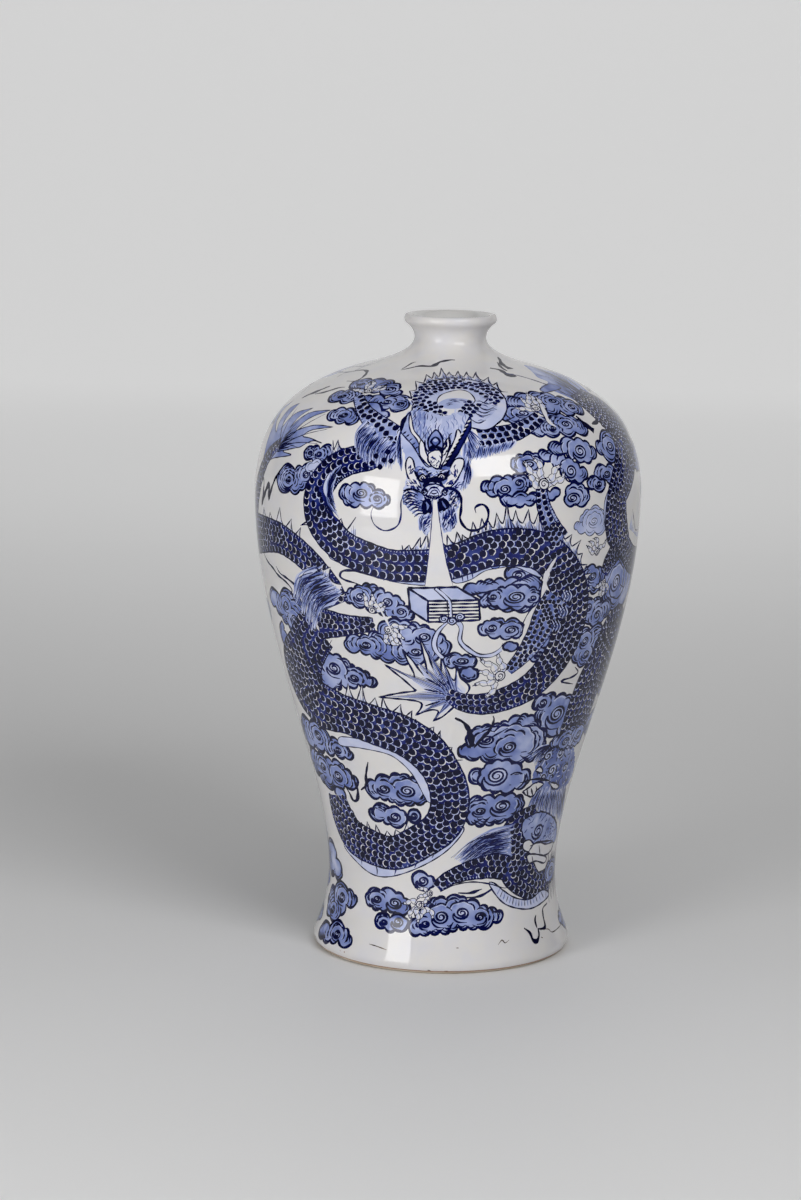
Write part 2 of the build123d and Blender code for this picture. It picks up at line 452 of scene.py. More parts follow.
def scribble(text, count, heading, turn=0.0, ink="ink", long=3.2, width=0.65, spread=35):
    """Short curved strokes scattered over an area, more or less in one heading in degrees."""
    edge = line(text, turn, closed=True, step=4)
    low, high = edge.min(0), edge.max(0)
    while count > 0:
        p = np.array((chance.uniform(low[0], high[0]), chance.uniform(low[1], high[1])))
        if not inside(p, edge):
            continue
        count -= 1
        a = math.radians(heading + chance.uniform(-spread, spread))
        k = UNROLL / float(radius_at(p[1]))
        go, bend = np.array((math.cos(a) * k, math.sin(a))), np.array((-math.sin(a) * k, math.cos(a)))
        half = long * chance.uniform(0.3, 0.6)
        stroke(smooth(np.array((p - go * half, p + bend * half * chance.uniform(-0.5, 0.5),
            p + go * half))), width, ink)


def limb(flat, corner, half):
    """A band's middle line, its sideways directions and its half widths."""
    track = smooth(flat, corner, step=LIMB_STEP)
    reach = np.concatenate([[0.0], np.cumsum([span_between(p, q) for p, q in zip(flat, flat[1:])])])
    run = np.concatenate([[0.0], np.cumsum([span_between(p, q) for p, q in zip(track, track[1:])])])
    return track, sides(track), np.interp(run / run[-1], reach / reach[-1], half)


# A dragon's scales: their pitch along a lane, the pitch of the lanes in pitches of a scale, how near two
# may stand, and the two outlines of a scale, ahead and sideways, in its half lengths
LIMB_STEP = 1.2
SCALE = 4.7
LANE_PITCH = 0.88
CRAMPED = 0.84
BLOB = [(math.cos(a), math.sin(a)) for a in (0.0, 0.8, 1.6, 2.4, 3.2, 4.0, 4.8, 5.6)]
CRESCENT = [(math.cos(a) * 1.24, math.sin(a) * 1.08) for a in (-1.9, -1.4, -0.9, -0.3, 0.3, 0.9, 1.4,
    1.9)] + [(-0.2, 0)]


def scale_rows(track, normal, half, sizes=(1.0,), ink="dark"):
    """Scales, each a dark blob with a pale crescent round its far side, packed in lanes along a body."""
    shares = np.linspace(0, 1, len(sizes))
    lanes = max(1, round(half.max() * 2 / (LANE_PITCH * SCALE * max(sizes))))
    placed = np.empty((0, 2))
    for lane in range(lanes):
        off = half * (-1.0 + 2.0 * (lane + 0.5) / lanes)
        path = shifted(track, normal, off)
        run = np.concatenate([[0.0], np.cumsum([span_between(p, q) for p, q in zip(path, path[1:])])])
        at = 1.5 + (lane % 2) * SCALE / 2
        while at < run[-1] - 1:
            size = SCALE * float(np.interp(at / run[-1], shares, sizes))
            i = min(int(np.searchsorted(run, at)), len(track) - 1)
            share = (at - run[i - 1]) / max(run[i] - run[i - 1], 1e-6)
            k = np.array((UNROLL / float(radius_at(track[i][1])), 1.0))
            here = path[i - 1] + (path[i] - path[i - 1]) * min(share, 1.0)
            over = abs(off[i]) + size * 0.46 - half[i]
            if over > 0:
                here = here - normal[i] * k * math.copysign(over, off[i])
            cramped = len(placed) and np.linalg.norm((placed - here) / k, axis=1).min() < size * CRAMPED
            if cramped or half[i] < size * 0.42:
                at += size * 0.2
                continue
            placed = np.vstack([placed, here])
            at += size * chance.uniform(0.96, 1.08)
            side, ahead = normal[i], np.array((normal[i][1], -normal[i][0]))
            wide, long = size * chance.uniform(0.44, 0.5), size * chance.uniform(0.42, 0.48)
            crescent, blob = ([(ahead * x * long + side * y * wide) * k for x, y in outline]
                              for outline in (CRESCENT, BLOB))
            add([here + p for p in crescent], chance.choice(("mist", "mist", "pale", "white")))
            add([here + p * chance.uniform(0.84, 1.16) for p in blob], ink)


def body(text, widths, turn=0.0, ground="hair", sizes=(1.0, 1.0), rims=(1.1, 1.1)):
    """A dragon's scaled body along a line, with its width in pixels at each of its points."""
    track, normal, half = limb(*band(text, widths, turn))
    left, right = shifted(track, normal, half), shifted(track, normal, -half)
    ribbon(left, right, ground)
    for i in range(1, len(track) - 1):
        for hand in (1, -1):
            deep = min(2.6, half[i] * 0.5) * chance.uniform(0.4, 1.0)
            foot, top = (shifted(track[i:i + 1], normal[i:i + 1], hand * d)[0]
                for d in (half[i], half[i] - deep))
            stroke(np.array((foot, top + (track[i] - track[i - 1]) * chance.uniform(-0.4, 0.4))), 0.7,
                   "ink" if i % 2 else "pale", (0.0, 0.8))
    scale_rows(track, normal, half, sizes)
    for rim, width in ((left, rims[0]), (right, rims[1])):
        if width:
            stroke(rim, width, "ink", (0.05, 0.05))
    return track, normal, half


# How deep the skin of a fin sags between its tips, where along it, and how the skin falls away from a tip
FIN_SAG = 0.68
FIN_LOW = 0.36
FIN_FALL = np.array((1.0, 0.85, 0.62, 0.36, 0.14))[:, None]
FIN_EDGE = 0.9


def tips(text, root, turn=0.0, lean=1, streaks=9):
    """Fins: a skin hung between pointed tips, over a line of roots on the body that has as many points. The
    skin drops steeply behind each tip and climbs slowly to the next, the other way for a lean of -1."""
    tip, base = points(text, turn)[0], points(root, turn)[0]
    for i in range(1, len(tip) - 1):
        along = (base[i + 1] - base[i - 1]) * 0.12
        tip[i] = base[i] + (tip[i] - base[i]) * chance.uniform(0.75,
            1.3) - along * lean * chance.uniform(0.6, 3.0)
    for i in range(len(tip) - 1):
        k = np.array((float(radius_at(base[i][1])) / UNROLL, 1.0))
        share = FIN_LOW if lean > 0 else 1 - FIN_LOW
        foot = base[i] * (1 - share) + base[i + 1] * share
        valley = (tip[i] * (1 - share) + tip[i + 1] * share) * (1 - FIN_SAG) + foot * FIN_SAG
        way = (base[i + 1] - base[i]) * k
        way = way / np.linalg.norm(way)
        sweeps = []
        for p, bend in ((tip[i], 2.6), (tip[i + 1], 1.2)):
            away = (p - valley) * k
            flat = way * away.dot(way)
            steep = FIN_FALL ** (bend if lean > 0 else 3.8 - bend)
            sweeps.append(valley + (flat * FIN_FALL + (away - flat) * steep) / k)
        edge = smooth(np.vstack([sweeps[0], valley[None], sweeps[1][::-1]]), step=1.5)
        t = np.linspace(0, 1, len(edge))[:, None]
        foot = base[i] * (1 - t) + base[i + 1] * t
        ribbon(edge, foot, "white")
        ribbon(edge * 0.5 + foot * 0.5, foot, "mist")
        for j in range(streaks):
            n = int((j + 0.5) / streaks * (len(edge) - 1))
            reach = chance.uniform(0.3, 0.9)
            streak = np.array((foot[n], foot[n] * (1 - reach) + edge[n] * reach))
            stroke(streak, 0.7, ("wash", "hair", "ink")[j % 3], (0.0, 0.8))
        stroke(edge, FIN_EDGE, "ink", (0.15, 0.15))


CLAW_HOOK = 1.8


def toe(at, heading, long, wide, bend):
    """One white toe with a dark edge, knuckles and a hooked claw. Angles are in degrees."""
    n = 15
    t = np.linspace(0, 1, n)
    a = np.radians(heading + bend * t ** 1.4 + 26 * np.sin(t * 9 + heading))
    true = np.cumsum(np.stack([np.cos(a), np.sin(a)], 1) * long / (n - 1), 0)
    k = UNROLL / float(radius_at(at[1]))
    track = at + true * (k, 1)
    normal = sides(track)
    half = wide / 2 * (1 - 0.75 * t ** 3) * (1 + 0.3 * np.cos(t * 18.8))
    left, right = shifted(track, normal, half), shifted(track, normal, -half)
    ribbon(shifted(track, normal, half + 0.5), shifted(track, normal, -half - 0.5), "ink")
    ribbon(left, right, "white")
    ribbon(track, shifted(track, normal, -half * 0.7), "mist")
    for i in (3, 7, 11):
        stroke(np.array((left[i], track[i], right[i + 1])), 0.6, "ink", (0.2, 0.4))
    hook = track[-1] + np.array([(0, 0), (math.cos(a[-1]) * CLAW_HOOK * k, math.sin(a[-1]) * CLAW_HOOK)])
    stroke(np.vstack([track[-2:-1], hook]), 1.3, "ink", (0.0, 0.9))


def claw(x, y, heading, turn=0.0, size=1.0, toes=5, fan=150.0):
    """A foot of white toes that spread from a pixel, the middle one in the heading given."""
    at = points(f"{x},{y}", turn)[0][0]
    order = sorted(range(toes), key=lambda i: -abs(i - (toes - 1) / 2))
    for i in order:
        off = (i / (toes - 1) - 0.5) * fan
        toe(at, heading + off, size * chance.uniform(8.6, 11.0), size * 2.2,
            -off * 0.9 + chance.uniform(-60, 60))
    add(oval(at, 2.2 * size, 2.2 * size), "ink")
    add(oval(at, 1.75 * size, 1.75 * size), "white")
    curl(at, 1.5 * size, 1.3, chance.uniform(0, 360), 1.0, 1, 0.7)


# The clouds. Each row is an outline and its curls.
CLOUDS = """
351,384 360,380 372,380 386,380 394,383 400,386 396,390 402,393 390,395 380,392 370,390 360,388 |
362,384,3,1.6,180,.7 390,389,4,1.7,0,.7;
363,397 372,396 385,399 395,397 402,395 409,402 400,411 390,408 380,407 370,404 | 387,402,4,1.7,180,.65
400,404,2.6,1.5,0,.8;
330,396 345,391 355,391 362,393 356,397 350,402 340,401 | 343,396,3.2,1.7,180,.6;
328,414 336,410 346,409 354,411 357,422 345,422 335,420 | 344,415,3.4,1.7,180,.7;
366,403 382,411 389,416 380,417;
304,452 313,447 320,449 334,449 340,450 322,461 312,459 | 319,454,3,1.6,180,.7 310,453,2,1.4,0,.8;
277,480 279,473 295,470 302,467 312,468 318,470 310,476 306,484 300,490 290,490 | 306,475,3.6,1.7,0,.8
289,479,3,1.5,180,.7;
341,488 350,486 360,485 368,484 375,490 385,495 390,500 385,505 372,505 360,504 350,505 343,500 |
361,493,5,1.9,180,.7 377,499,3,1.5,0,.7;
511,463 516,458 523,455 533,454 541,457 541,468 535,472 525,472 515,470 | 529,464,5.6,1.7,0,.55;
538,454 547,451 557,453 566,458 574,462 580,468 587,471 584,480 575,480 568,478 560,470 552,460 |
571,471,5.2,1.8,180,.95;
548,448 560,443 574,440 583,441 590,446 596,452 592,459 584,461 575,458 565,452 | 580,451,6.2,2,180,.85;
505,402 514,396 528,394 540,393 556,397 566,399 575,403 583,410 575,413 560,411 548,414 538,412 524,410
512,408 | 572,407,4,1.6,0,.7 553,401,4,1.6,0,.6;
502,418 506,410 515,407 527,409 536,413 530,418 520,421 508,421 | 523,413,5,1.4,180,.6;
530,430 545,418 556,415 566,417 576,419 584,426 588,431 576,432 560,432 545,434 534,434 |
566,424,4.2,1.5,0,.6 553,428,3,1.4,180,.7;
481,487 490,481 503,478 512,477 520,476 528,478 533,482 528,487 520,492 505,497 498,495 486,492 |
505,489,4.6,1.8,180,.75 519,483,3,1.4,0,.8;
500,499 515,505 525,504 535,502 540,497 528,495 512,497;
540,493 550,492 560,490 556,497 548,499;
570,485 578,485 585,488 589,494 588,501 575,503 566,504 566,495 | 573,498,5.6,1.8,0,.6;
596,447 600,441 612,434 618,440 620,450 617,457 603,455 | 610,446,5,1.7,180,.8;
594,473 606,467 614,468 617,474 614,480 606,480 598,479 | 607,474,4.4,1.7,180,.6;
587,482 600,480 606,484 594,489 | 599,484,3.6,1.5,180,.6;
344,598 347,592 354,589 362,586 370,585 378,588 385,593 393,596 401,600 404,606 411,612 414,617 406,619
396,617 390,613 378,612 365,606 352,603 | 360,597,4.4,1.7,180,.75 387,602,4.4,1.7,180,.8
401,612,3.2,1.5,0,.8;
388,621 400,622 410,623 420,626 430,629 436,634 446,640 450,650 440,655 425,660 410,662 395,660 380,658
370,654 360,650 346,648 346,640 360,637 368,636 378,632 | 424,637,5,1.8,180,.7 408,639,3.5,1.5,0,.8
366,645,4.4,1.7,180,.6 416,652,5,1.8,180,.6;
315,665 318,659 325,657 333,655 342,659 350,664 355,669 363,671 370,677 377,683 366,685 358,684 350,687
342,685 335,688 326,688 320,684 316,675 | 334,668,6.4,2,180,.75 354,678,4.2,1.6,180,.7;
505,572 515,567 525,569 534,572 541,576 520,580 510,579 | 518,575,5,1.7,0,.6;
463,590 476,584 484,582 494,581 505,581 520,581 540,580 541,590 530,594 510,596 490,594 476,594;
480,604 488,606 500,607 515,609 532,607 540,600 534,594 500,594 482,598;
488,598 497,590 505,588 518,588 530,588 537,590 540,596 534,603 525,606 510,607 497,606 490,603 |
516,597,7.4,2.2,180,.6 493,597,3,1.4,180,.7 533,598,3,1.4,180,.7;
478,629 483,624 490,621 497,619 505,622 520,622 522,634 512,637 500,636 488,635 | 511,630,5,1.8,0,.6
492,628,4,1.6,180,.7;
503,646 514,643 518,647 507,650;
443,661 448,656 462,656 470,657 477,661 465,668 455,667 447,666 | 462,661,5.2,1.8,180,.5;
460,672 466,668 474,669 478,674 472,680 464,679;
533,645 540,640 550,637 557,638 554,644 545,648 535,649;
528,655 535,650 542,648 548,652 538,660 530,659 | 539,654,3,1.6,180,.8;
583,572 588,567 596,568 603,574 604,584 598,590 590,591 584,584 | 593,576,4,1.6,180,.8;
604,568 612,560 622,560 630,570 628,590 618,604 608,602 603,590 | 616,582,7,2,180,1;
583,603 593,600 602,603 611,606 604,618 598,622 590,624 | 589,607,3.6,1.6,180,.9 597,615,3.6,1.6,0,.9;
580,632 590,630 603,631 608,641 603,647 597,655 592,660 585,664 577,663 573,652 576,645 |
585,641,4.2,1.7,180,.9 597,643,3.5,1.6,0,.9 586,654,4.2,1.7,180,.8;
533,703 546,695 556,697 566,696 572,700 574,710 580,716 582,725 575,732 560,732 545,730 537,722 538,710 |
543,703,4,1.6,180,.9 557,714,8.4,2.3,180,.9 572,723,4.6,1.7,0,.9;
468,735 473,730 482,727 492,727 500,724 508,722 520,716 528,716 535,720 540,728 545,740 540,752 535,758
525,760 510,760 495,760 480,757 465,757 458,751 463,746 470,745 | 509,747,6,1.9,180,.8
526,744,4.4,1.6,0,.9 487,740,5.5,1.8,180,.7;
469,775 480,769 482,778 480,784;
482,786 480,775 484,768 492,763 502,761 512,764 522,770 530,776 526,784 515,788 500,791 490,790 |
497,776,9,2.4,180,.85 515,777,5.4,1.7,0,.7;
470,800 482,798 495,798 505,796 516,796 523,800 522,808 515,815 505,820 495,822 485,824 475,824 468,822
470,812 | 502,806,7.4,2.1,180,.7 480,811,4.4,1.6,180,.7;
367,783 375,781 390,777 400,775 410,778 420,780 427,782 428,795 425,802 415,803 405,804 395,802 388,799
380,797 370,795 | 407,791,6.4,1.9,180,.75 384,789,5,1.7,180,.7;
370,815 373,808 390,808 400,810 406,815 404,824 390,824 383,820 | 395,817,4.8,1.8,180,.8
380,813,2.6,1.4,0,.8;
408,815 417,810 417,822 409,820 | 414,816,2.8,1.5,180,1;
302,720 310,722 320,728 330,738 340,744 350,751 353,757 345,757 335,753 325,750 315,745 306,738 |
318,736,5,1.7,0,.8 338,750,4,1.5,180,.7;
311,755 318,753 325,758 332,762 340,763 345,769 352,775 358,782 345,786 335,785 325,783 320,775 314,765 |
338,776,5.6,1.8,180,.8 323,766,4,1.5,180,.8;
335,792 340,788 345,793 344,799;
329,840 335,848 336,858 342,872 341,878 335,874 330,865;
330,893 335,887 348,890 354,895 357,901 346,904 340,915 330,916 328,903 | 342,897,4.8,1.8,180,.8
333,909,3.4,1.5,180,.9;
320,928 330,926 345,929 349,935 351,944 338,940 330,940 323,938 | 337,934,4.8,1.7,180,.7;
366,900 368,893 381,891 396,893 404,898 409,905 408,912 395,912 388,909 380,909 372,906 |
395,903,5.6,1.9,180,.75 377,899,4,1.6,180,.7;
375,920 384,914 390,918 405,918 408,925 395,930 385,928 | 398,922,4.4,1.7,180,.8 384,922,3,1.4,180,.7;
423,905 430,902 437,898 446,900 460,897 467,901 480,906 488,909 497,911 503,915 493,922 478,927 468,927
458,927 450,931 440,932 430,932 420,934 410,932 416,918 | 441,917,5.4,1.8,180,.9 462,913,5.4,1.8,180,.8
480,917,4,1.6,0,.8 425,924,3.4,1.5,180,.8;
413,874 428,876 434,880 430,888 423,890 | 423,881,4.2,1.6,180,.9;
270,597 280,596 294,596 302,604 305,612 302,624 298,632 288,624 282,616 276,606 | 286,605,4,1.6,180,.9
294,619,4.4,1.7,180,.9;
282,621 284,630 288,640 285,647;
528,840 530,825 535,815 543,813 550,818 554,826 553,838 545,843 535,842 | 540,831,6,2,180,1
"""
SOFT_CLOUDS = """
574,526 580,522 583,514 590,510 600,508 605,530 595,532 585,532 577,530 | 594,521,4.4,1.6,180,.7;
305,468 312,462 322,462 330,466 322,470 312,471
"""

# The flames and wind strokes, each a line, a width and the ends' tapers
FLAMES = """
401,370 410,368 420,366 432,366 440,362 450,360 455,360 | 1.6,.6,.4;
402,369 412,363 416,362 | 1.2,.8,.6;
498,357 502,364 511,369 | 2.4,.9,0;
497,362 501,367 507,371 | 1.4,.7,.3;
490,368 500,370 508,375 515,375 | 2.6,.9,0;
302,398 310,394 318,391 330,386 | 2.2,.6,.6;
315,394 325,392 338,388 345,387 | 1.4,.6,.6;
337,377 345,373 355,371 364,370 367,372 363,377 355,381 347,381 | 1.2,.5,.5;
263,473 264,485 262,504! 266,490 269,485 269,499! 272,487 277,475 283,467 | 1.8,.5,.5;
576,416 585,424 594,431 | 2.6,.9,0;
590,408 594,413 597,421 592,424 | 1.8,.6,.3;
344,784 349,792 353,800 357,800 358,792 356,785 353,777 350,773 | 1.6,.6,.6;
361,790 366,785 366,775 368,762 | 1.4,.5,.7;
455,718 464,723 470,733 472,747 | 2.1,.8,0;
474,748 482,738 490,730 494,720 493,716 | 1.5,.4,.8;
478,745 492,737 508,728 | 1,.4,.8;
524,928 530,933 533,940 537,941 539,935 538,928 | 1.6,.5,.5;
537,928 535,920 536,915 | 1.2,.2,.8;
538,929 545,927 543,915 543,908 547,903 | 1.2,.2,.8;
262,548 267,560 273,568 278,575 286,582 292,590 289,596 | .8,.3,.3;
276,566 280,573 288,579 296,586 299,592 292,597 | .8,.3,.3;
372,576 355,571 343,571 340,576 345,580 355,583 362,586 | .8,.3,.3;
575,667 578,672 572,677 563,680 562,682 573,684 | .8,.3,.3;
482,889 470,893 458,893 | 1,.3,.6;
495,887 480,896 462,898 | 1,.3,.6
"""

# Specks of iron in the glaze of the foot
SPECKS = """
369,944 376,946 387,950;
456,948 459,948;
498,945 502,940 505,943 509,940;
540,930 548,929 552,932 558,928 562,922;
541,937 543,938;
427,970 431,971;
444,972 448,971
"""


def rows_of(table):
    """The rows of a table of text, each as its parts."""
    return [[part.strip() for part in row.split("|")] for row in table.split(";")]


# The length along the profile under which the clouds have heavier lines
LOW_CLOUDS = 215.0


def sky(turn):
    """The clouds, flames and specks that the photograph shows."""
    for outline, *curls in rows_of(CLOUDS):
        cloud(outline, *curls, turn=turn, width=1.9 if points(outline)[0][:, 1].mean() < LOW_CLOUDS else 1.5)
    for outline, *curls in rows_of(SOFT_CLOUDS):
        cloud(outline, *curls, ink="pale", turn=turn, width=0.6)
    for track, look in rows_of(FLAMES):
        width, into, out = (float(v) for v in look.split(","))
        pen(track, width * 2, "dark" if width > 1.1 else "ink", turn, (into, out))
    for track, in rows_of(SPECKS):
        pen(track, 0.7, "iron", turn, (0.3, 0.3))


def second_dragon(turn):
    """The dragon that comes from the left edge and winds down to the lower right."""
    tips("252,509 257,511 262,513 268,512 274,512 283,514 293,523 302,532 306,545",
         "250,522 256,524 262,525 268,526 274,527 283,532 292,538 300,546 305,554", turn)
    body("256,532 275,536 292,546 308,560 320,575 330,590 337,605", [24, 22, 20, 20, 22, 24, 24], turn,
        sizes=(0.95, 1.05))
    tips("325,563 332,572 342,585", "318,568 327,580 338,594", turn)
    tips("322,683 334,682 345,684 356,687 368,690 379,697 391,702 404,704 414,714 423,721 436,725 "
        "446,738 456,750 463,760", "318,699 330,701 342,704 354,707 366,710 378,714 390,716 402,719 "
        "412,725 422,731 434,739 442,749 450,760 456,770", turn)
    area("340,737 360,739 385,745 402,751 416,762 424,775 431,790 433,802 427,801 420,788 412,774 "
        "398,760 384,753 360,748 340,745", "mist", turn, 0.7)
    tips("340,822 348,817 357,812 363,823 371,821 380,824 389,829 398,828 408,820",
        "343,829 349,835 356,839 365,842 374,843 383,842 392,841 401,838 410,832", turn, streaks=5)
    area("464,830 450,848 430,862 405,873 385,877 370,873 355,860 344,845 350,836 364,852 380,863 "
        "400,862 425,850 446,836 456,824", "mist", turn, 0.8)
    for x, y, lean in ((360, 862, 4), (376, 872, 2), (395, 872, -1), (416, 865, -3), (434, 855, -4),
            (448, 843, -5)):
        pen(f"{x - lean},{y - 9} {x + 1},{y - 3} {x + lean / 2},{y + 3}", 1.0, "hair", turn)
    body("318,628 307,650 305,676 318,700 345,714 374,725 402,735 425,750 441,770 449,790 449,810 "
        "440,828 420,842 395,853 370,846 352,833 343,814 337,795", [40, 32, 30, 30, 32, 36, 38, 38, 36,
        38, 38, 36, 34, 32, 30, 24, 20, 15], turn, sizes=(1.05, 1.15, 1.15, 1.05, 0.9))
    body("318,622 345,625 374,624", [30, 20, 12], turn, sizes=(0.9,))
    tuft("316,566 342,596", "292,596 312,634", 46, turn, 0.15, 0.5)
    claw(372, 610, 60, turn, 1.15, 4, 130)
    claw(388, 630, -50, turn, 1.3, 5, 150)
    pen("374,600 384,616 394,636", 1.4, "white", turn)
    pen("332,640 326,650 322,658 313,664 305,667", 1.1, "ink", turn)


def tail_fan(turn):
    """The fan at the end of the dragon's tail."""
    text = ("446,714 433,721! 437,716 438,711 430,710 416,715! 421,708 421,703 410,700 379,697! 400,693 "
        "415,691 414,689 404,680 394,672 385,665! 398,671 412,678 414,674 408,662 402,649! 412,660 "
        "421,672 426,676 427,671 423,653 419,636! 427,652 433,668 439,675 441,670 441,656! 446,668 "
        "451,678 455,680 456,674 457,666! 461,678 469,690")
    area(text, "white", turn, 1.3)
    fan, root = line(text, turn, closed=True), spot("456,696", turn)[0]
    for share, ink in ((0.72, "mist"), (0.5, "pale"), (0.3, "wash")):
        add(root + (fan - root) * share, ink)
    for x, y in ((434, 720), (417, 714), (380, 697), (386, 666), (403, 650), (419, 638), (441, 658),
            (457, 668)):
        for k in range(7):
            f = (k - 3) * 1.7
            reach = 0.97 - 0.12 * abs(k - 3) - chance.uniform(0, 0.12)
            a, b = 455 - f * (694 - y) / 44, 695 + f * (455 - x) / 55
            pen(f"{a},{b} {a + (x - a) * reach * .5 + f * .2},{b + (y - b) * reach * .5} "
                f"{a + (x - a) * reach},{b + (y - b) * reach}", 1.0 if k == 3 else 0.7,
                ("deep", "hair", "ink")[k % 3], turn, (0.1, 0.9), step=9)
    for x, y in ((425, 706), (424, 689), (426, 678), (437, 679), (447, 681)):
        pen(f"{(x + 456) / 2},{(y + 696) / 2} {x},{y}", 1.2, "ink", turn, (0.6, 0.1))


def main_dragon(turn, pearl=False):
    """The dragon in the middle, from its head round to the fan of its tail."""
    # Fins along the back
    tips("402,545 412,545 421,540 429,537 436,540", "400,553 408,553 416,553 424,553 433,552", turn)
    tips("436,541 444,537 452,532 459,528 467,530 475,522 484,519 492,516 501,510 510,506 520,511 "
        "531,513 541,515 552,517", "438,552 446,550 454,548 461,546 468,543 476,540 484,537 492,534 "
        "501,531 510,529 520,529 531,530 541,531 550,533", turn)
    tips("554,526 566,533 575,539 581,545 586,555 589,566 591,577 590,588",
        "554,534 562,541 568,548 574,556 579,565 582,574 584,583 584,592", turn)
    tips("333,440 343,440 350,447 360,446", "330,456 340,452 350,450 362,448", turn)
    tips("335,516 346,520 356,517", "333,524 343,532 356,540", turn)
    tips("318,520 304,530 318,545", "312,512 314,524 322,538", turn)
    tail_fan(turn)
    # The belly, a pale band under the scales
    area("330,550 345,559 366,568 390,576 427,577 427,585 400,583 380,578 365,574 345,565 330,558",
        "pale", turn, 0.6)
    area("450,574 470,570 487,564 505,560 530,562 545,568 540,577 515,567 500,568 485,571 470,580 "
        "455,583", "pale", turn, 0.6)
    for x, y in ((377, 577), (383, 579), (389, 580), (405, 581), (411, 581), (462, 580), (467, 579),
            (472, 577)):
        pen(f"{x},{y - 5} {x + 1},{y + 2}", 0.9, "hair", turn)
    for x, y in ((495, 566), (509, 564), (517, 563)):
        area(f"{x - 5},{y} {x},{y - 4} {x + 5},{y} {x},{y + 3}", "deep", turn, 0.5)
    body("392,450 372,457 350,461 333,470 322,484 316,500 319,518 330,534 345,548 365,557 390,565 "
        "415,566 440,565 465,558 490,549 515,547 540,551 556,563 567,582 571,602 569,625 561,648 548,668 "
        "530,686 507,698 483,704 462,702 448,694", [16, 24, 26, 26, 26, 24, 26, 30, 30, 30, 30, 31, 33,
        33, 35, 37, 38, 38, 36, 33, 29, 27, 26, 24, 22, 20, 17, 12], turn,
        sizes=(0.95, 1.0, 1.05, 1.1, 1.1, 1.1, 1.05, 0.95, 0.8))
    # The gap between belly and hind leg
    pen("556,558 547,574 544,590 542,602 532,612 526,626 521,642", 3.4, "white", turn, (0.2, 0.5))
    pen("553,560 543,575 541,592 539,600 529,612 522,626 519,640", 0.9, "ink", turn)
    # The hind leg with its joint of hatched swirls
    body("558,598 547,615 539,632 529,648 518,661 508,671", [28, 26, 22, 18, 13, 9], turn, "deep",
        (0.75,), rims=(0.8, 0.8))
    for x, y, r in ((567, 596, 6), (563, 612, 5.4), (556, 626, 5)):
        area(f"{x - r},{y} {x},{y - r} {x + r},{y} {x},{y + r}", "deep", turn, 0.8)
        for k in range(-3, 4):
            pen(f"{x + k * 1.5 - 1},{y - 6} {x + k * 1.5 + 1.5},{y} {x + k * 1.5 - 1},{y + 6}", 0.7,
                "ink" if k % 2 else "mist", turn)
        curl(spot(f"{x},{y}", turn)[0], r / 2, 1.5, 0, 1.0, 1, 0.6)
    claw(500, 676, 170, turn, 1.7, 5, 170)
    # The left foreleg, its shoulder and the hair over it
    body("398,452 388,436 376,424 366,413 360,402 359,396", [34, 30, 22, 16, 12, 10], turn, "wash",
        (1.0,), rims=(0.8, 0.8))
    tuft("366,420 378,434 404,444", "354,446 362,462 392,470", 56, turn, 0.12, 0.35)
    for x, y in ((376, 456), (384, 460), (372, 463), (388, 452), (380, 467), (391, 461), (366, 468)):
        area(f"{x - 3},{y} {x},{y - 3} {x + 3},{y} {x},{y + 3}", "dark", turn)
    claw(368, 391, 95, turn, 1.3, 5, 190)
    # The upright foreleg
    body("541,486 543,503 547,515 553,528 560,540", [10, 13, 15, 17, 20], turn, "deep", (0.8,),
        rims=(0.8, 0.8))
    pen("545,495 551,513 560,529 567,543", 0.8, "ink", turn)
    curl(spot("553,527", turn)[0], 3.0, 1.6, 0, 1.0, 1, 0.7)
    claw(544, 484, 88, turn, 1.75, 5, 190)
    # The right foreleg
    body("478,437 495,436 515,432 530,424 540,416", [20, 19, 17, 14, 12], turn, "wash", (1.0,),
        rims=(0.8, 0.8))
    tuft("464,440 478,446 516,440", "462,462 480,460 510,450", 40, turn, 0.0, 0.15)
    claw(536, 408, 100, turn, 1.5, 5, 180)
    pen("541,405 548,420 556,427", 2.6, "white", turn, (0.1, 0.3))
    pen("539,406 546,421 554,429", 0.7, "ink", turn)
    pen("544,404 551,419 558,427", 0.7, "ink", turn)
    # A lock of hair that falls over the shoulder
    pen("339,466 328,480 325,495 330,510 337,521", 4.6, "hair", turn, (0.4, 0.6))
    tuft("342,464 328,478", "328,500 340,520", 16, turn, 0.15, 0.9)
    neck(turn)
    head(turn)
    if pearl:
        flaming_pearl(turn)
    else:
        breath_and_books(turn)
    # Whiskers
    pen("447,489 455,491 461,498 461,510 460,518 463,525 469,530 477,530 484,526 488,518 488,510 484,505 "
        "479,505 475,508 476,513", 1.6, "ink", turn, (0.15, 0.1))
    pen("404,494 401,502 401,515 398,525 390,530 382,530 374,524 371,515 373,508 378,505", 1.1, "hair",
        turn, (0.2, 0.5))


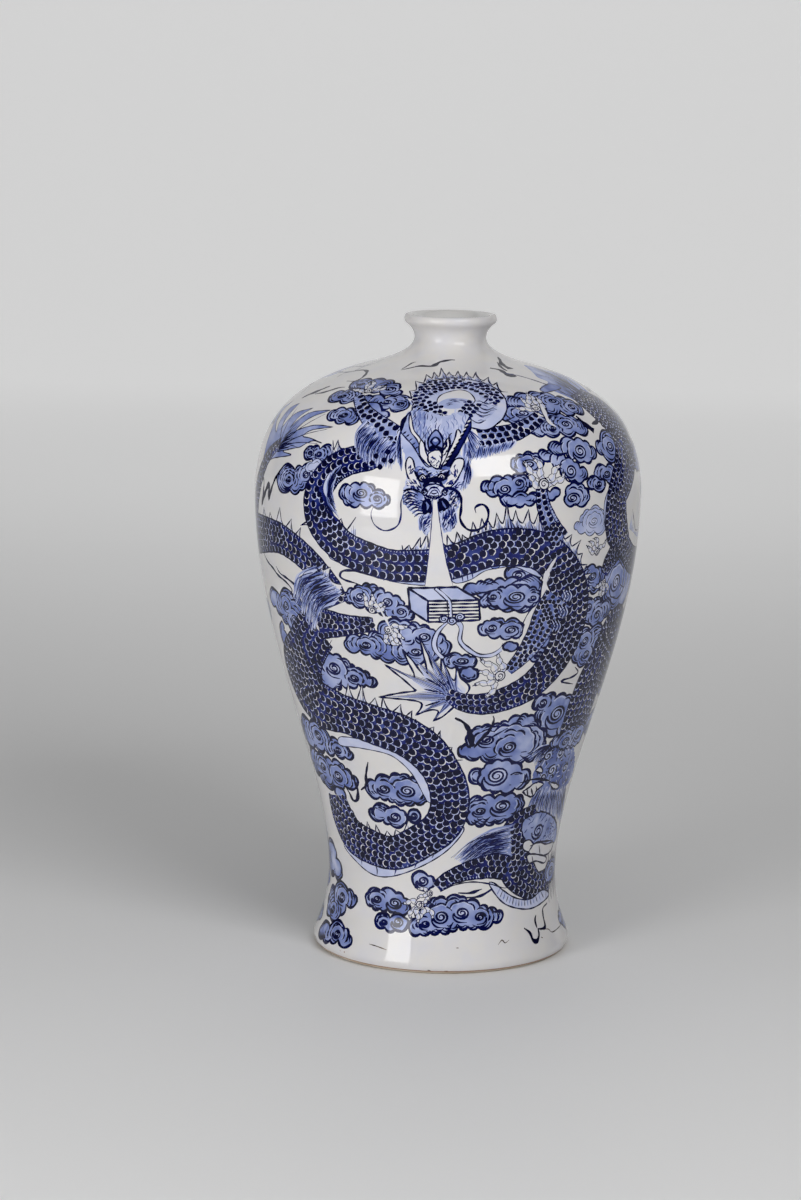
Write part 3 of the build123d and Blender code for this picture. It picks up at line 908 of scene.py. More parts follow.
def neck(turn):
    """The loop of the neck behind the head."""
    tips("407,398 412,388 419,380 428,375 437,373 445,369 453,372 461,370 470,372 480,374 490,377 "
        "500,383 508,392", "412,405 416,394 423,386 431,382 438,380 446,379 454,378 462,379 471,380 "
        "481,383 491,387 499,392 506,400", turn)
    area("412,411 414,402 418,392 426,384 437,379.5 452,378 466,379 480,382 493,387 502,394 507,404 "
        "505,415 497,424 484,430 455,424 430,424 414,418", "mist", turn, 1.1)
    tuft("414,410 420,390 450,379", "424,412 430,398 452,388", 30, turn, 0, 0.5)
    tuft("452,379 484,384 505,400", "452,388 478,393 494,404", 26, turn, 0, 0.3)
    area("437,402 441,395 452,391 462,390 470,393 475,400 472,404 462,412 455,418 447,424 442,414",
        "white", turn, 0.8)
    area("438,404 446,399 458,398 470,400 474,402 465,407 454,409 444,408", "pale", turn)
    scribble("440,404 446,400 458,399 470,401 465,407 454,408", 14, 0, turn, "hair", 4, 0.6, 12)
    area("478,391 488,393 497,399 497,408 488,418 474,424 470,416 478,406 480,398", "pale", turn)
    for text in ("480,392 488,395 486,401 480,404", "478,400 488,404 495,401", "476,405 486,410 494,407",
            "472,411 482,416 491,414", "469,418 478,423 486,420", "484,388 492,393 490,398",
            "474,408 484,413 492,410"):
        pen(text, 1.0, "ink", turn)
    scribble("476,392 494,394 498,408 484,420 470,424 474,406", 26, -20, turn, "hair", 4, 0.6, 20)
    for text, widths in (("417,415 419,402 424,393 433,387 445,384 458,383.5 470,385 482,389 493,396 "
            "499,404", [9, 12, 13, 13, 12, 11, 10, 11, 12, 9]), ("423,407 432,410 440,418 444,425",
            [15, 19, 17, 11]), ("475,402 468,411 460,418 455,422", [13, 14, 13, 10])):
        scale_rows(*limb(*band(text, widths, turn)), (0.82,), "ink")


def head(turn):
    """The face, seen from the front."""
    # The mane and the face's ground
    tuft("402,426 401,440 401,455", "396,446 397,460 402,474", 16, turn, 0, 0.5, 0.8)
    tuft("462,424 468,432 466,452", "484,442 478,452 468,470", 26, turn, 0, 0.2)
    tuft("462,456 468,458 471,470", "456,482 462,492 470,484", 26, turn, 0, 0.4)
    area("410,411 404,420 401,430 402,445 405,457 406,470 406,480 403,492 404,502 410,511 419,518 "
        "421,530 428,534 432,518 440,516 442,530 449,532 456,524 457,510 461,500 460,488 464,476 464,460 "
        "460,452 466,440 470,426 469,416 458,412 444,416 430,412", "pale", turn, rough=0.6)
    # The forelock
    scribble("410,412 424,412 432,430 424,442 414,436", 20, 88, turn, "wash", 8, 1.8, 6)
    scribble("412,416 424,416 427,428 418,436", 14, 92, turn, "deep", 6, 1.3, 6)
    scribble("428,426 444,422 446,436 442,448 430,440", 14, 84, turn, "mist", 8, 1.5, 6)
    scribble("410,412 428,414 444,424 446,446 424,448", 26, 88, turn, "hair", 7, 0.55, 6)
    scribble("448,414 460,412 466,420 458,432 450,436", 16, 100, turn, "mist", 7, 1.4, 8)
    scribble("444,416 466,416 458,436 446,446", 16, 100, turn, "deep", 6, 0.6, 8)
    # Horns, each a hatched band inside a white crest
    area("410,412 404,421 401,431 405,437 413,446 419,456 426,466 430,466 425,455 420,444 412,432 "
        "411,421", "wash", turn, 0.9)
    area("410,413 409,423 411,432 417,440 421,450 425,459 431,466 432,462 427,455 423,446 420,438 "
        "414,430 412,420", "white", turn, 0.8)
    pen("407,415 403,422 401,431", 3.4, "dark", turn, (0.5, 0.3))
    for x, y in ((403, 434), (406, 437), (409, 441), (412, 445), (415, 449), (418, 454), (421, 459),
            (424, 463)):
        pen(f"{x},{y} {x + 3.4},{y - 2.6}", 1.2, "ink", turn)
    area("457,430 455,438 451,447 446,457 441,466 446,465 452,456 458,447 461,437 460,431", "white", turn,
        1.0)
    area("470,417 466,424 464,432 459,440 455,449 449,456 445,464 440,469 447,470 452,462 457,455 "
        "462,446 467,436 471,427", "hair", turn, 1.0)
    for k in range(11):
        x, y = 469 - 2.4 * k, 420 + 4.2 * k
        pen(f"{x + 1.5},{y} {x - 1.5},{y + 2.2}", 1.0, "white", turn)
        pen(f"{x + 2.6},{y + 1.4} {x - 1.4},{y + 4}", 1.3, "dark", turn)
    # The two white spikes at the brow
    area("421,440 419,447 420,455 424,461 431,467 429,460 426,452 424,444", "white", turn, 0.9)
    area("448,438 444,445 442,454 439,463 441,466 446,458 449,449 450,442", "white", turn, 0.9)
    pen("452,433 449,436 450,444 447,452", 1.4, "dark", turn)
    scribble("446,446 449,446 446,456 442,462", 7, 70, turn, "ink", 2.4, 0.6, 30)
    # The jewel in its bulb
    area("436,430 430,436 428,442 430,450 436,448 442,450 443,442 441,435", "wash", turn, 1.2)
    area("431,441.5 435.5,437 440,441.5 435.5,446", "deep", turn, 1.3)
    area("433,440.5 435.5,438.5 438,440.5 435.5,442", "pale", turn)
    pen("425,440 425,447 429,453", 1.5, "ink", turn)
    pen("446,439 446,446 441,453", 1.5, "ink", turn)
    # The brow boss and the dark cap over it
    area("435,450 429,453 428,460 432,466 438,469 441,462 442,455 440,451", "white", turn, 1.1, rough=0.2)
    scribble("430,457 441,457 439,467 433,466", 14, 60, turn, "hair", 2.6, 0.7, 80)
    pen("428,452 431,448 436,447 441,449 443,453", 2.6, "dark", turn, (0.3, 0.3))
    # Ears
    area("409,457 406,462 406,470 409,479 416,485 421,487 418,478 415,468 413,460", "white", turn, 1.0)
    area("463,459 456,459 450,467 447,476 442,486 447,489 455,483 460,474 464,465", "white", turn, 1.0)
    scribble("408,465 411,463 414,471 411,476", 9, 70, turn, "hair", 2.8, 0.9, 30)
    scribble("457,465 453,470 452,479 456,477 459,470", 9, 105, turn, "hair", 2.8, 0.8, 30)
    # Eyes on a band of dark tufts
    area("414,470 420,466 428,470 434,473 440,470 446,466 451,471 447,480 443,485 434,480 424,486 "
        "417,479", "deep", turn, rough=0.6)
    scribble("418,468 434,473 448,468 446,480 434,481 420,482", 60, 10, turn, "dark", 3.4, 0.9, 50)
    scribble("420,467 434,473 446,468 446,475 434,477 420,475", 24, 15, turn, "mist", 3.0, 0.7, 40)
    for x, y, out in ((422.5, 478, -1), (441.5, 477, 1)):
        area(f"{x - 4},{y} {x},{y - 3.6} {x + 4},{y} {x},{y + 3.6}", "white", turn, 1.2, "dark")
        area(f"{x - 2.4},{y + .3} {x},{y - 2} {x + 2.4},{y + .3} {x},{y + 2.6}", "dark", turn)
        area(f"{x - 1},{y - .2} {x},{y - 1.1} {x + 1},{y - .2} {x},{y + .5}", "pale", turn)
        pen(f"{x + out * 8},{y - 7} {x + out * 5.6},{y - 3} {x + out * 3.4},{y + 2} {x},{y + 4.2}", 2.3,
            "dark", turn, (0.4, 0.5))
    pen("423,487 428,481 434,479.5 439,481 443,486", 4.0, "dark", turn, (0.4, 0.4))
    # Temples
    scribble("408,480 418,484 422,490 410,490", 22, -25, turn, "hair", 4.0, 1.0, 30)
    scribble("408,480 418,484 422,490 410,490", 8, -25, turn, "white", 3.0, 0.7, 30)
    scribble("448,482 456,480 462,486 450,489", 16, 30, turn, "hair", 3.4, 0.9, 30)
    # Nose
    area("423,490 427,485.5 434,484 441,485.5 446,490 441,496 434,498 427,496", "mist", turn, 1.2, rough=0.2)
    pen("427,494 430,489 434,487 438,489 441,494", 0.9, "hair", turn)
    pen("429,495 432,491 434,490 437,491 439,495", 0.9, "hair", turn)
    for y, half in ((486.5, 5), (492.5, 3.6), (495, 5.4)):
        pen(f"{434 - half},{y} 434,{y + 1.4} {434 + half},{y}", 0.8, "ink", turn)
    for x, hand, start in ((424.5, 1, 0), (445, -1, 180)):
        area(f"{x - 3.2},492 {x},488.5 {x + 3.2},492 {x},495.5", "pale", turn, 1.0)
        curl(spot(f"{x},492", turn)[0], 1.5, 1.2, start, 1.0, hand, 1.0, "dark")
    scribble("423,496 446,496 444,500 425,500", 22, 80, turn, "ink", 2.2, 0.7, 40)
    # Shaggy cheeks
    area("406,491 402,498 404,504 411,511 421,519 423,508 422,494 414,490", "wash", turn, rough=0.8)
    area("449,490 448,500 449,512 456,510 460,501 460,493 455,489", "wash", turn, rough=0.8)
    for k in range(9):
        y = 491 + 3 * k
        x = 403 + max(0, k - 3) * 2.2
        pen(f"{x},{y + 2} {x + 5},{y - 1.5} {x + 10},{y - 1} {x + 15},{y + 2}", 1.1, "ink", turn, (0.4, 0.6))
        pen(f"{x + 1},{y + 3.3} {x + 6},{y} {x + 12},{y + 1.5}", 0.8, "white", turn)
    scribble("404,492 421,492 423,514 408,508", 26, 20, turn, "hair", 3.4, 0.8, 40)
    scribble("450,492 459,492 458,504 450,511", 34, 60, turn, "ink", 3.6, 0.8, 25)
    scribble("450,492 459,492 458,504 450,511", 10, 60, turn, "white", 3.0, 0.7, 25)
    pen("403,491 408,489.5 414,489.5 422,493", 1.7, "dark", turn)
    pen("444,488 450,487.5 456,490.5 460,496 461,504", 1.7, "ink", turn, (0.3, 0.2))
    # Mouth
    area("424,501 428,499 431,502 431,512 428,516 424,514 422,507", "dark", turn, 0.8, "dark")
    area("440,499 445,499 449,504 448,510 443,514 439,510 438,504", "dark", turn, 0.8, "dark")
    for text in ("426,502 428,506 427,510", "442,501 444,505 446,508"):
        pen(text, 1.4, "deep", turn, (0.5, 0.5))
    # Beard
    tuft("422,515 432,514", "419,530 428,537", 18, turn, 0.1, 0.35)
    tuft("441,512 454,506", "444,534 458,524", 24, turn, 0.05, 0.4)
    scribble("422,519 431,517 430,532 423,531", 14, 45, turn, "hair", 4.2, 0.7, 15)
    scribble("442,514 455,512 453,528 443,530", 16, 70, turn, "hair", 4.2, 0.8, 25)
    scribble("422,519 431,517 430,532 423,531", 8, 45, turn, "mist", 4.2, 0.7, 15)
    scribble("442,514 455,512 453,528 443,530", 10, 70, turn, "mist", 4.2, 0.7, 25)


def breath_and_books(turn):
    """The breath that the dragon blows on a bound set of books, and the ribbon round it."""
    add(line("433,500! 437,500! 441,530 446,560 453,586! 425,586! 428,560 430,530", turn, closed=True),
        "glaze")
    pen("433,500 431,530 428,560 425,586", 0.6, "thin", turn, (0.1, 0.1))
    pen("437,500 441,530 446,560 453,586", 0.6, "thin", turn, (0.1, 0.1))
    # Ribbons and their knot
    area("446,622 437,630 432,640 433,650 440,658 444,657 438,650 437,641 441,631 449,622", "mist", turn)
    area("455,618 463,625 462,640 470,648 480,654 492,653 500,648 502,651 492,657 478,657 466,651 "
        "458,641 459,628 452,620", "mist", turn)
    for text in ("446,622 437,630 432,640 433,650 440,658", "449,622 441,631 437,641 438,650 444,657",
                 "455,618 463,625 462,640 470,648 480,654 492,653 500,648 503,643",
                 "452,620 459,628 458,641 466,651 478,657 492,657 502,651"):
        pen(text, 0.9, "ink", turn)
    add(line("408,588! 457,587! 479,600! 480,620! 428,622! 410,610!", turn, closed=True), "glaze")
    add(line("408,588! 457,587! 479,600! 428,601!", turn, closed=True), "mist")
    add(line("440,588! 457,587! 479,600! 455,600.5!", turn, closed=True), "pale")
    add(line("408,588! 428,601! 428,622! 410,610!", turn, closed=True), "pale")
    for text in ("408,588 457,587 479,600", "408,588 428,601 479,600",
            "408,588 410,610 428,622 480,620 479,600"):
        corners = text.split()
        for a, b in zip(corners, corners[1:]):
            pen(f"{a} {b}", 1.5, "ink", turn, (0, 0))
    pen("428,601 428,622", 1.5, "ink", turn, (0, 0))
    for y in (604.5, 608, 611.5, 615, 618):
        pen(f"429,{y} 455,{y - .5} 479,{y - 1}", 1.2, "ink", turn, (0, 0))
    for a, b in (("434,589", "447,601"), ("438,588", "451,600"), ("447,601", "449,621"),
            ("451,600", "453,620")):
        pen(f"{a} {b}", 0.8, "ink", turn, (0, 0))
    pen("436,588.5 449,600.5 451,620", 1.2, "mist", turn, (0, 0))
    for x, y, hand in ((444, 619, 1), (460, 617, -1), (452, 621, 1)):
        area(f"{x - 5},{y} {x},{y - 4} {x + 5},{y} {x},{y + 4}", "pale", turn, 0.9)
        curl(spot(f"{x},{y}", turn)[0], 2.6, 1.4, 0, 0.9, hand, 0.7)


def flaming_pearl(turn):
    """The pearl that the dragon on the other side reaches for."""
    x, y = 438, 592
    for k in range(9):
        a = math.radians(20 + 17.5 * k)
        far = 24 + 7 * (k % 2)
        flame = ((9, a), (far * .7, a + .25), (far, a))
        pen(" ".join(f"{x + r * math.cos(b)},{y - r * math.sin(b)}" for r, b in flame), 2.4, "ink", turn,
            (0.1, 0.9))
    area(f"{x - 14},{y} {x - 10},{y - 10} {x},{y - 14} {x + 10},{y - 10} {x + 14},{y} {x + 10},{y + 10} "
        f"{x},{y + 14} {x - 10},{y + 10}", "wash", turn, 1.2)
    area(f"{x - 10},{y} {x},{y - 10} {x + 10},{y} {x},{y + 10}", "glaze", turn, 0.9)
    curl(spot(f"{x},{y}", turn)[0], 5.4, 1.8, 0, 1.0, 1, 0.9)


def third_dragon(turn):
    """The dragon low on the right. Its tail is the fan high on the left of the other face."""
    fan = ("291,455 283,451 300,447! 312,441 322,443! 310,438 303,436 312,430 333,427! 318,425 306,427 "
        "296,430 310,418 331,410! 312,412 298,420 290,428 300,416 313,408! 298,412 288,420 281,429 "
        "288,416 300,403! 290,408 280,421 276,432 280,414 293,401! 281,410 272,428 266,446 264,462 "
        "274,458")
    back = turn + 180
    area(fan, "wash", back, 0.7)
    for tip in ("300,447", "322,443", "333,427", "331,410", "313,408", "300,403", "291,404"):
        x, y = (float(v) for v in tip.split(","))
        for f in (0.0, 0.12):
            pen(f"{276 + f * 30},{448 - f * 20} {138 + x * .5},{224 + y * .5 - 3} "
                f"{x * .9 + 27.6},{y * .9 + 44.8}", 0.9, "ink" if f else "deep", back, (0.1, 0.8))
    hairs("284,436 276,452", "300,424 292,450", 14, 0.9, "ink", back, 0.6)
    body("@116,341 @110,331 @106,318 @102,302 @98,286 @95,268 @92,250 @87,236 @79,225 612,634 602,655 "
        "592,676 584,696 577,716 570,735", [12, 16, 20, 22, 24, 24, 24, 24, 24, 22, 22, 22, 22, 22, 20],
        turn, sizes=(0.8, 1.0, 1.0))
    # Head and mane, turned away round the side
    area("532,782 536,766 544,752 555,742 567,738 574,750 573,772 566,786 550,791 538,790", "deep", turn,
        rough=0.8)
    tuft("538,788 566,786", "524,814 562,826", 50, turn, 0.05, 0.7)
    tuft("548,746 560,738", "530,752 536,776", 26, turn, 0.1, 0.9)
    region = "537,770 545,750 558,742 570,744 571,772 560,787 540,787"
    scribble(region, 70, 60, turn, "dark", 4.5, 1.0, 80)
    scribble(region, 34, 60, turn, "mist", 4.0, 0.8, 80)
    for word in ("548,756,4.2,1.5", "561,753,4.6,1.6", "552,770,4.4,1.5", "565,768,4,1.4",
            "543,777,3.2,1.4"):
        at, (size, turns) = spot(word, turn)
        add(oval(at, size * 0.9, size * 0.8), "pale")
        curl(at, size, turns, chance.uniform(0, 360), 0.9, 1, 1.3, "dark")
    for text in ("527,789 535,783 541,782 543,785 537,790 533,796 528,796 523,792",
            "551,783 555,783 559,786 556,789 552,788", "536,771 539,767 542,768 542,773"):
        area(text, "white", turn, 1.3, rough=0.3)
    for text in ("527,789 528,797", "531,788 533,796", "536,786 537,792"):
        pen(text, 1.3, "dark", turn)
    pen("520,783 530,780 540,779 550,781", 2.2, "dark", turn, (0.7, 0.3))
    # Body, with the leg reaching left over it
    body("537,812 520,828 514,845 515,862 522,876 536,886 548,880", [14, 28, 34, 36, 34, 28, 16], turn,
        sizes=(0.95,))
    area("489,884 500,900 512,907 528,909 540,904 549,894 542,890 530,899 516,898 504,891 494,883",
        "mist", turn, 1.0)
    for k in range(16):
        x = 497 + 3.1 * k
        y = 906.5 - ((x - 522) / 24) ** 2 * 11
        pen(f"{x},{y} {x + (522 - x) * .12},{y - 6 - k % 3}", 0.9, "ink" if k % 2 else "deep", turn,
            (0.1, 0.8))
    area("522,824 530,816 544,812 556,822 556,838 548,846 534,846 524,838", "wash", turn, 1.2, rough=0.4)
    scribble("524,824 532,816 546,814 555,824 554,838 546,842 532,842 526,836", 46, 30, turn, "hair", 4,
        0.8, 60)
    area("524,842 530,840 534,846 530,852 523,849", "white", turn, 1.2)
    area("531,848 537,842 546,844 553,842 551,850 545,855 530,854", "white", turn, 1.2)
    area("527,856 534,854 546,857 544,863 536,861 529,863", "white", turn, 1.2)
    pen("539,845 540,854", 1.0, "ink", turn)
    pen("532,856 533,862", 1.0, "ink", turn)
    curl(spot("538,831", turn)[0], 6.4, 2.2, 180, 1.0, 1, 1.5)
    pen("530,846 540,842 553,840", 1.6, "dark", turn)
    area("508,828 494,832 480,842 468,854 462,866 486,868 510,864", "wash", turn, rough=0.8)
    tuft("512,826 508,862", "450,858 478,872", 70, turn, 0.1, 0.6)
    body("508,868 494,866 480,868 465,872 450,878 437,887", [24, 24, 21, 17, 14, 12], turn,
        sizes=(1.05, 0.95))
    pen("440,892 455,885 472,882 490,884 505,888 515,884", 1.0, "ink", turn)
    hairs("548,850 556,850", "546,904 556,898", 20, 1.3, "ink", turn, 0.8)
    claw(420, 905, -110, turn, 1.25, 5, 190)
    claw(430, 893, 200, turn, 0.9, 3, 120)


def edge_dragons(turn):
    """The dragon that falls down the right edge and comes out on the other face as its second dragon."""
    area("524,365 545,370 566,376 586,390 606,408 624,430 630,446 620,440 606,424 590,410 572,399 "
        "556,392 541,387 548,382 536,376", "wash", turn)
    for text in ("512,358 530,363 552,372 574,388", "500,372 520,376 545,384 566,394",
            "520,361 545,367 566,378 586,394", "536,374 556,380 576,394 592,408",
            "560,392 580,400 596,410"):
        pen(text, 2.0, "hair", turn, (0.8, 0.2))
    hairs("590,400 606,420", "520,362 552,386", 40, 1.0, "ink", turn, 0.8)
    area("540,389 548,384 556,385 561,388 553,391 545,392", "deep", turn, 0.8)
    area("611,486 605,500 604,515 606,530 612,542 620,540 620,486", "pale", turn, 0.7)
    body("575,392 590,403 604,414 615,428 622,442 625,458 623,475 618,492 616,510 617,528 @66,276 "
        "@74,266 @84,264 @94,275", [12, 16, 18, 18, 16, 16, 18, 18, 20, 20, 24, 26, 26, 26], turn,
        sizes=(0.75, 0.9))
    tips("@70,300 @78,288 @86,287 @94,294", "@68,288 @77,280 @86,276 @95,284", turn, -1)
    body("617,548 609,562 604,574", [12, 10, 7], turn, sizes=(0.7,))
    claw(597, 552, 100, turn, 1.1, 4, 150)
    claw(604, 582, -90, turn, 1.1, 4, 150)


def side(turn):
    """Clouds and flames that fill the two sides, which the photograph doesn't show."""
    billow(92, 352, 34, 14, turn, "@96,353,4,1.7,0,.7 @87,351,3.6,1.6,180,.7")
    billow(82, 330, 42, 17, turn, "@86,331,5,1.9,180,.75 @77,328,4,1.6,0,.7")
    billow(88, 309, 34, 14, turn, "@91,309,4.6,1.8,0,.7")
    billow(84, 246, 26, 12, turn, "@84,246,4,1.7,180,.7")
    billow(98, 226, 22, 15, turn, "@99,226,4.4,1.8,0,.8")
    billow(84, 205, 34, 17, turn, "@88,206,5,1.9,180,.8 @79,203,4,1.6,0,.8")
    billow(90, 183, 30, 14, turn, "@92,183,4.4,1.7,180,.75")
    billow(78, 180, 22, 13, turn, "@78,180,4,1.7,0,.75")
    billow(78, 155, 30, 17, turn, "@76,155,5,1.9,180,.8")
    billow(93, 137, 22, 22, turn, "@93,140,5,1.9,180,.9 @94,131,3.5,1.5,0,.8")
    billow(92, 103, 18, 20, turn, "@92,105,4.4,1.8,0,.9")
    billow(94, 72, 18, 20, turn, "@94,73,4.4,1.8,180,.9")
    billow(92, 44, 26, 15, turn, "@92,45,4.6,1.8,0,.75")
    billow(88, 18, 34, 14, turn, "@84,18,4.4,1.7,180,.7 @93,18,4,1.6,0,.7")
    pen("@76,377 @84,372 @92,373 @98,368", 2.4, "dark", turn, (0.7, 0.4))
    pen("@60,246 @66,243 @70,248 @66,252", 1.6, "ink", turn, (0.5, 0.5))
    pen("@97,160 @100,166 @98,174! @96,167 @92,164", 2.0, "dark", turn)
    pen("@80,120 @84,114 @83,107! @81,112 @77,113", 2.2, "dark", turn)


def trailing_clouds(turn):
    """Clouds that the bodies of the third dragon run into."""
    billow(60, 150, 46, 16, turn, "@65,151,5,1.8,180,.75 @55,149,4.4,1.7,0,.75")
    billow(72, 54, 26, 17, turn, "@72,54,5,1.8,0,.75")


# Both faces are painted layer by layer, as the dragons run from one to the other
for layer in (sky, side, third_dragon, edge_dragons, second_dragon, trailing_clouds):
    for turn in (0, 180):
        layer(turn)
main_dragon(0)
main_dragon(180, True)


# The painted skin. The painting is first flattened so that each face knows what lies on top there, then
# only the outlines that still show are kept and the whole surface is meshed again between them.
RING_COLUMNS = 180
SEAM_STEPS = 150
GRID = 4.0
# The foot and the shoulder with the neck bend more, so their rows lie closer together
FOOT_BEND, NECK_BEND, BEND_STEP = 16.0, 62.0, 1.1
# Cells in which points of the grid keep clear of the outlines
CELL = 1.6
# How close two places have to be to count as one
NEAR = 1e-3
# The back of the coat: the distance of its rows, and how many of them run up the shoulder and the neck
BACK_STEP, BACK_ROWS = 6.0, 42


def flattened():
    """The painting as one layer: vertices, triangles and the ink on top of each triangle."""
    rim = [(-HALF_TURN, 0.0), (HALF_TURN, 0.0), (HALF_TURN, LENGTH), (-HALF_TURN, LENGTH)]
    verts, faces, inks = [Vector(p) for p in rim], [[0, 1, 2, 3]], [INK_NAMES.index("glaze")]
    for shape, ink in painted:
        middle = (shape[:, 0].min() + shape[:, 0].max()) / 2
        shape = shape - (round(middle / (2 * HALF_TURN)) * 2 * HALF_TURN, 0)
        copies = [shape]
        if shape[:, 0].max() > HALF_TURN:
            copies.append(shape - (2 * HALF_TURN, 0))
        if shape[:, 0].min() < -HALF_TURN:
            copies.append(shape + (2 * HALF_TURN, 0))
        for copy in copies:
            faces.append(list(range(len(verts), len(verts) + len(copy))))
            verts.extend(Vector(p) for p in copy)
            inks.append(ink)
    out = delaunay_2d_cdt(verts, [], faces, 1, 1e-4, True)
    # A shape that crosses itself can claim everything round it, so such a claim isn't taken
    claims = Counter(i for ids in out[5] for i in ids)
    false = {i for i, n in claims.items() if i and n > len(out[2]) / 3}
    keep = [(f, inks[max(i for i in ids if i not in false)]) for f, ids in zip(out[2], out[5]) if 0 in ids]
    return out[0], [f for f, _ in keep], [ink for _, ink in keep]


def outlines(tris, inks):
    """The edges where the ink on top changes, or where the surface ends."""
    beside = {}
    for tri, ink in zip(tris, inks):
        for i in range(3):
            a, b = tri[i], tri[(i + 1) % 3]
            beside.setdefault((min(a, b), max(a, b)), []).append(ink)
    return [edge for edge, both in beside.items() if len(both) == 1 or both[0] != both[1]]


def cell_of(x, y):
    return int(x // CELL), int(y // CELL)


def grid_points(taken):
    """Evenly spread points for the bare stretches, closer together where the profile bends."""
    out, s, row = [], 0.0, 0
    while s < LENGTH - 0.4:
        if row:
            r = float(radius_at(s))
            count = max(90, int(2 * math.pi * r / GRID))
            for i in range(count):
                p = (((i + 0.5 * (row % 2) + 0.25) / count * 2 - 1) * HALF_TURN, s)
                x, y = cell_of(*p)
                if not any((x + across, y + up) in taken for across in (-1, 0, 1) for up in (-1, 0, 1)):
                    out.append(p)
        tight = LENGTH - s < NECK_BEND or s < FOOT_BEND
        s += BEND_STEP if tight else GRID * 0.87
        row += 1
    return out


def rings():
    """Points round the lower and upper edge of the surface, and up the seam."""
    around = np.linspace(-HALF_TURN, HALF_TURN, RING_COLUMNS + 1)
    ends = [(float(u), s) for u in around for s in (0.0, LENGTH)]
    ups = np.linspace(0, LENGTH, SEAM_STEPS)[1:-1]
    return ends + [(side * HALF_TURN, round(float(s), 2)) for side in (-1, 1) for s in ups]


def build_skin():
    """The whole surface in one mesh: unrolled points, triangles and the ink on top of each triangle."""
    verts, tris, inks = flattened()
    edges = outlines(tris, inks)
    used = sorted({v for edge in edges for v in edge})
    renumber = {v: i for i, v in enumerate(used)}
    taken = {cell_of(verts[v].x, verts[v].y) for v in used}
    # Both sides of the seam get the same points
    seam = {v: LENGTH if verts[v].y > LENGTH - 0.01 else round(verts[v].y, 2)
            for v in used if abs(abs(verts[v].x) - HALF_TURN) < NEAR}
    both = [(side * HALF_TURN, y) for y in set(seam.values()) for side in (-1, 1)]
    free = rings() + grid_points(taken) + both
    kept = [Vector((math.copysign(HALF_TURN, verts[v].x), seam[v])) if v in seam else verts[v] for v in used]
    flat = kept + [Vector(p) for p in free]
    out = delaunay_2d_cdt(flat, [(renumber[a], renumber[b]) for a, b in edges], [], 0, 1e-4, False)
    under = BVHTree.FromPolygons([(v.x, v.y, 0.0) for v in verts], tris)
    top = []
    for tri in out[2]:
        c = (out[0][tri[0]] + out[0][tri[1]] + out[0][tri[2]]) / 3
        hit = under.ray_cast(Vector((c.x, c.y, 1.0)), Vector((0, 0, -1)))
        top.append(inks[hit[2]] if hit[2] is not None else 0)
    return np.array([(v.x, v.y) for v in out[0]]), out[2], top


def lifted(flat):
    """Unrolled points put back on the vase, with the surface's own normals."""
    angle, s = flat[:, 0] / UNROLL, flat[:, 1]
    r, z = np.interp(s, prof_s, prof_r), np.interp(s, prof_s, prof_z)
    dr, dz = np.interp(s, prof_s, slope[:, 0]), np.interp(s, prof_s, slope[:, 1])
    co = np.stack([r * np.sin(angle), -r * np.cos(angle), z], 1) * MM
    normal = np.stack([dz * np.sin(angle), -dz * np.cos(angle), -dr], 1)
    return co, normal / np.linalg.norm(normal, axis=1)[:, None]


def bridged(near, far):
    """Triangles between two loops of (place round the vase, vertex), which may differ in length."""
    i, j, out = 0, 0, []
    while i < len(near) or j < len(far):
        a, c = near[i % len(near)][1], far[j % len(far)][1]
        (x, b), (y, d) = near[(i + 1) % len(near)], far[(j + 1) % len(far)]
        reach = [math.inf if full else place + 2 * HALF_TURN * (place < -HALF_TURN + NEAR)
                 for place, full in ((x, i >= len(near)), (y, j >= len(far)))]
        if reach[0] <= reach[1]:
            out.append((a, c, b))
            i += 1
        else:
            out.append((a, c, d))
            j += 1
    return out


def coat_back(flat, used):
    """The back of the glaze coat: points, normals, and triangles that close the painted face at both rims."""
    around = np.linspace(-HALF_TURN, HALF_TURN, RING_COLUMNS + 1)[:-1]
    bend = LENGTH - NECK_BEND
    ups = np.concatenate([np.arange(0.0, bend, BACK_STEP), np.linspace(bend, LENGTH, BACK_ROWS)])
    co, normal = lifted(np.array([(x, s) for s in ups for x in around]))
    low, high = (sorted((float(flat[v][0]), k) for k, v in enumerate(used) if abs(flat[v][1] - s) < NEAR)
                 for s in (0.0, LENGTH))
    rows = [[(float(x), len(used) + i * RING_COLUMNS + j) for j, x in enumerate(around)]
        for i in range(len(ups))]
    loops = [low, *rows, high]
    tris = [tri for near, far in zip(loops, loops[1:]) for tri in bridged(near, far)]
    return co - normal * GLAZE_DEPTH * MM, -normal, tris


# Each triangle lies in one spot of the map, with its corners a little apart. The back lies in plain glaze.
NUDGE = ((0.0, 0.0), (0.006, 0.0), (0.003, 0.006))
PLAIN = (0.02, 0.15)


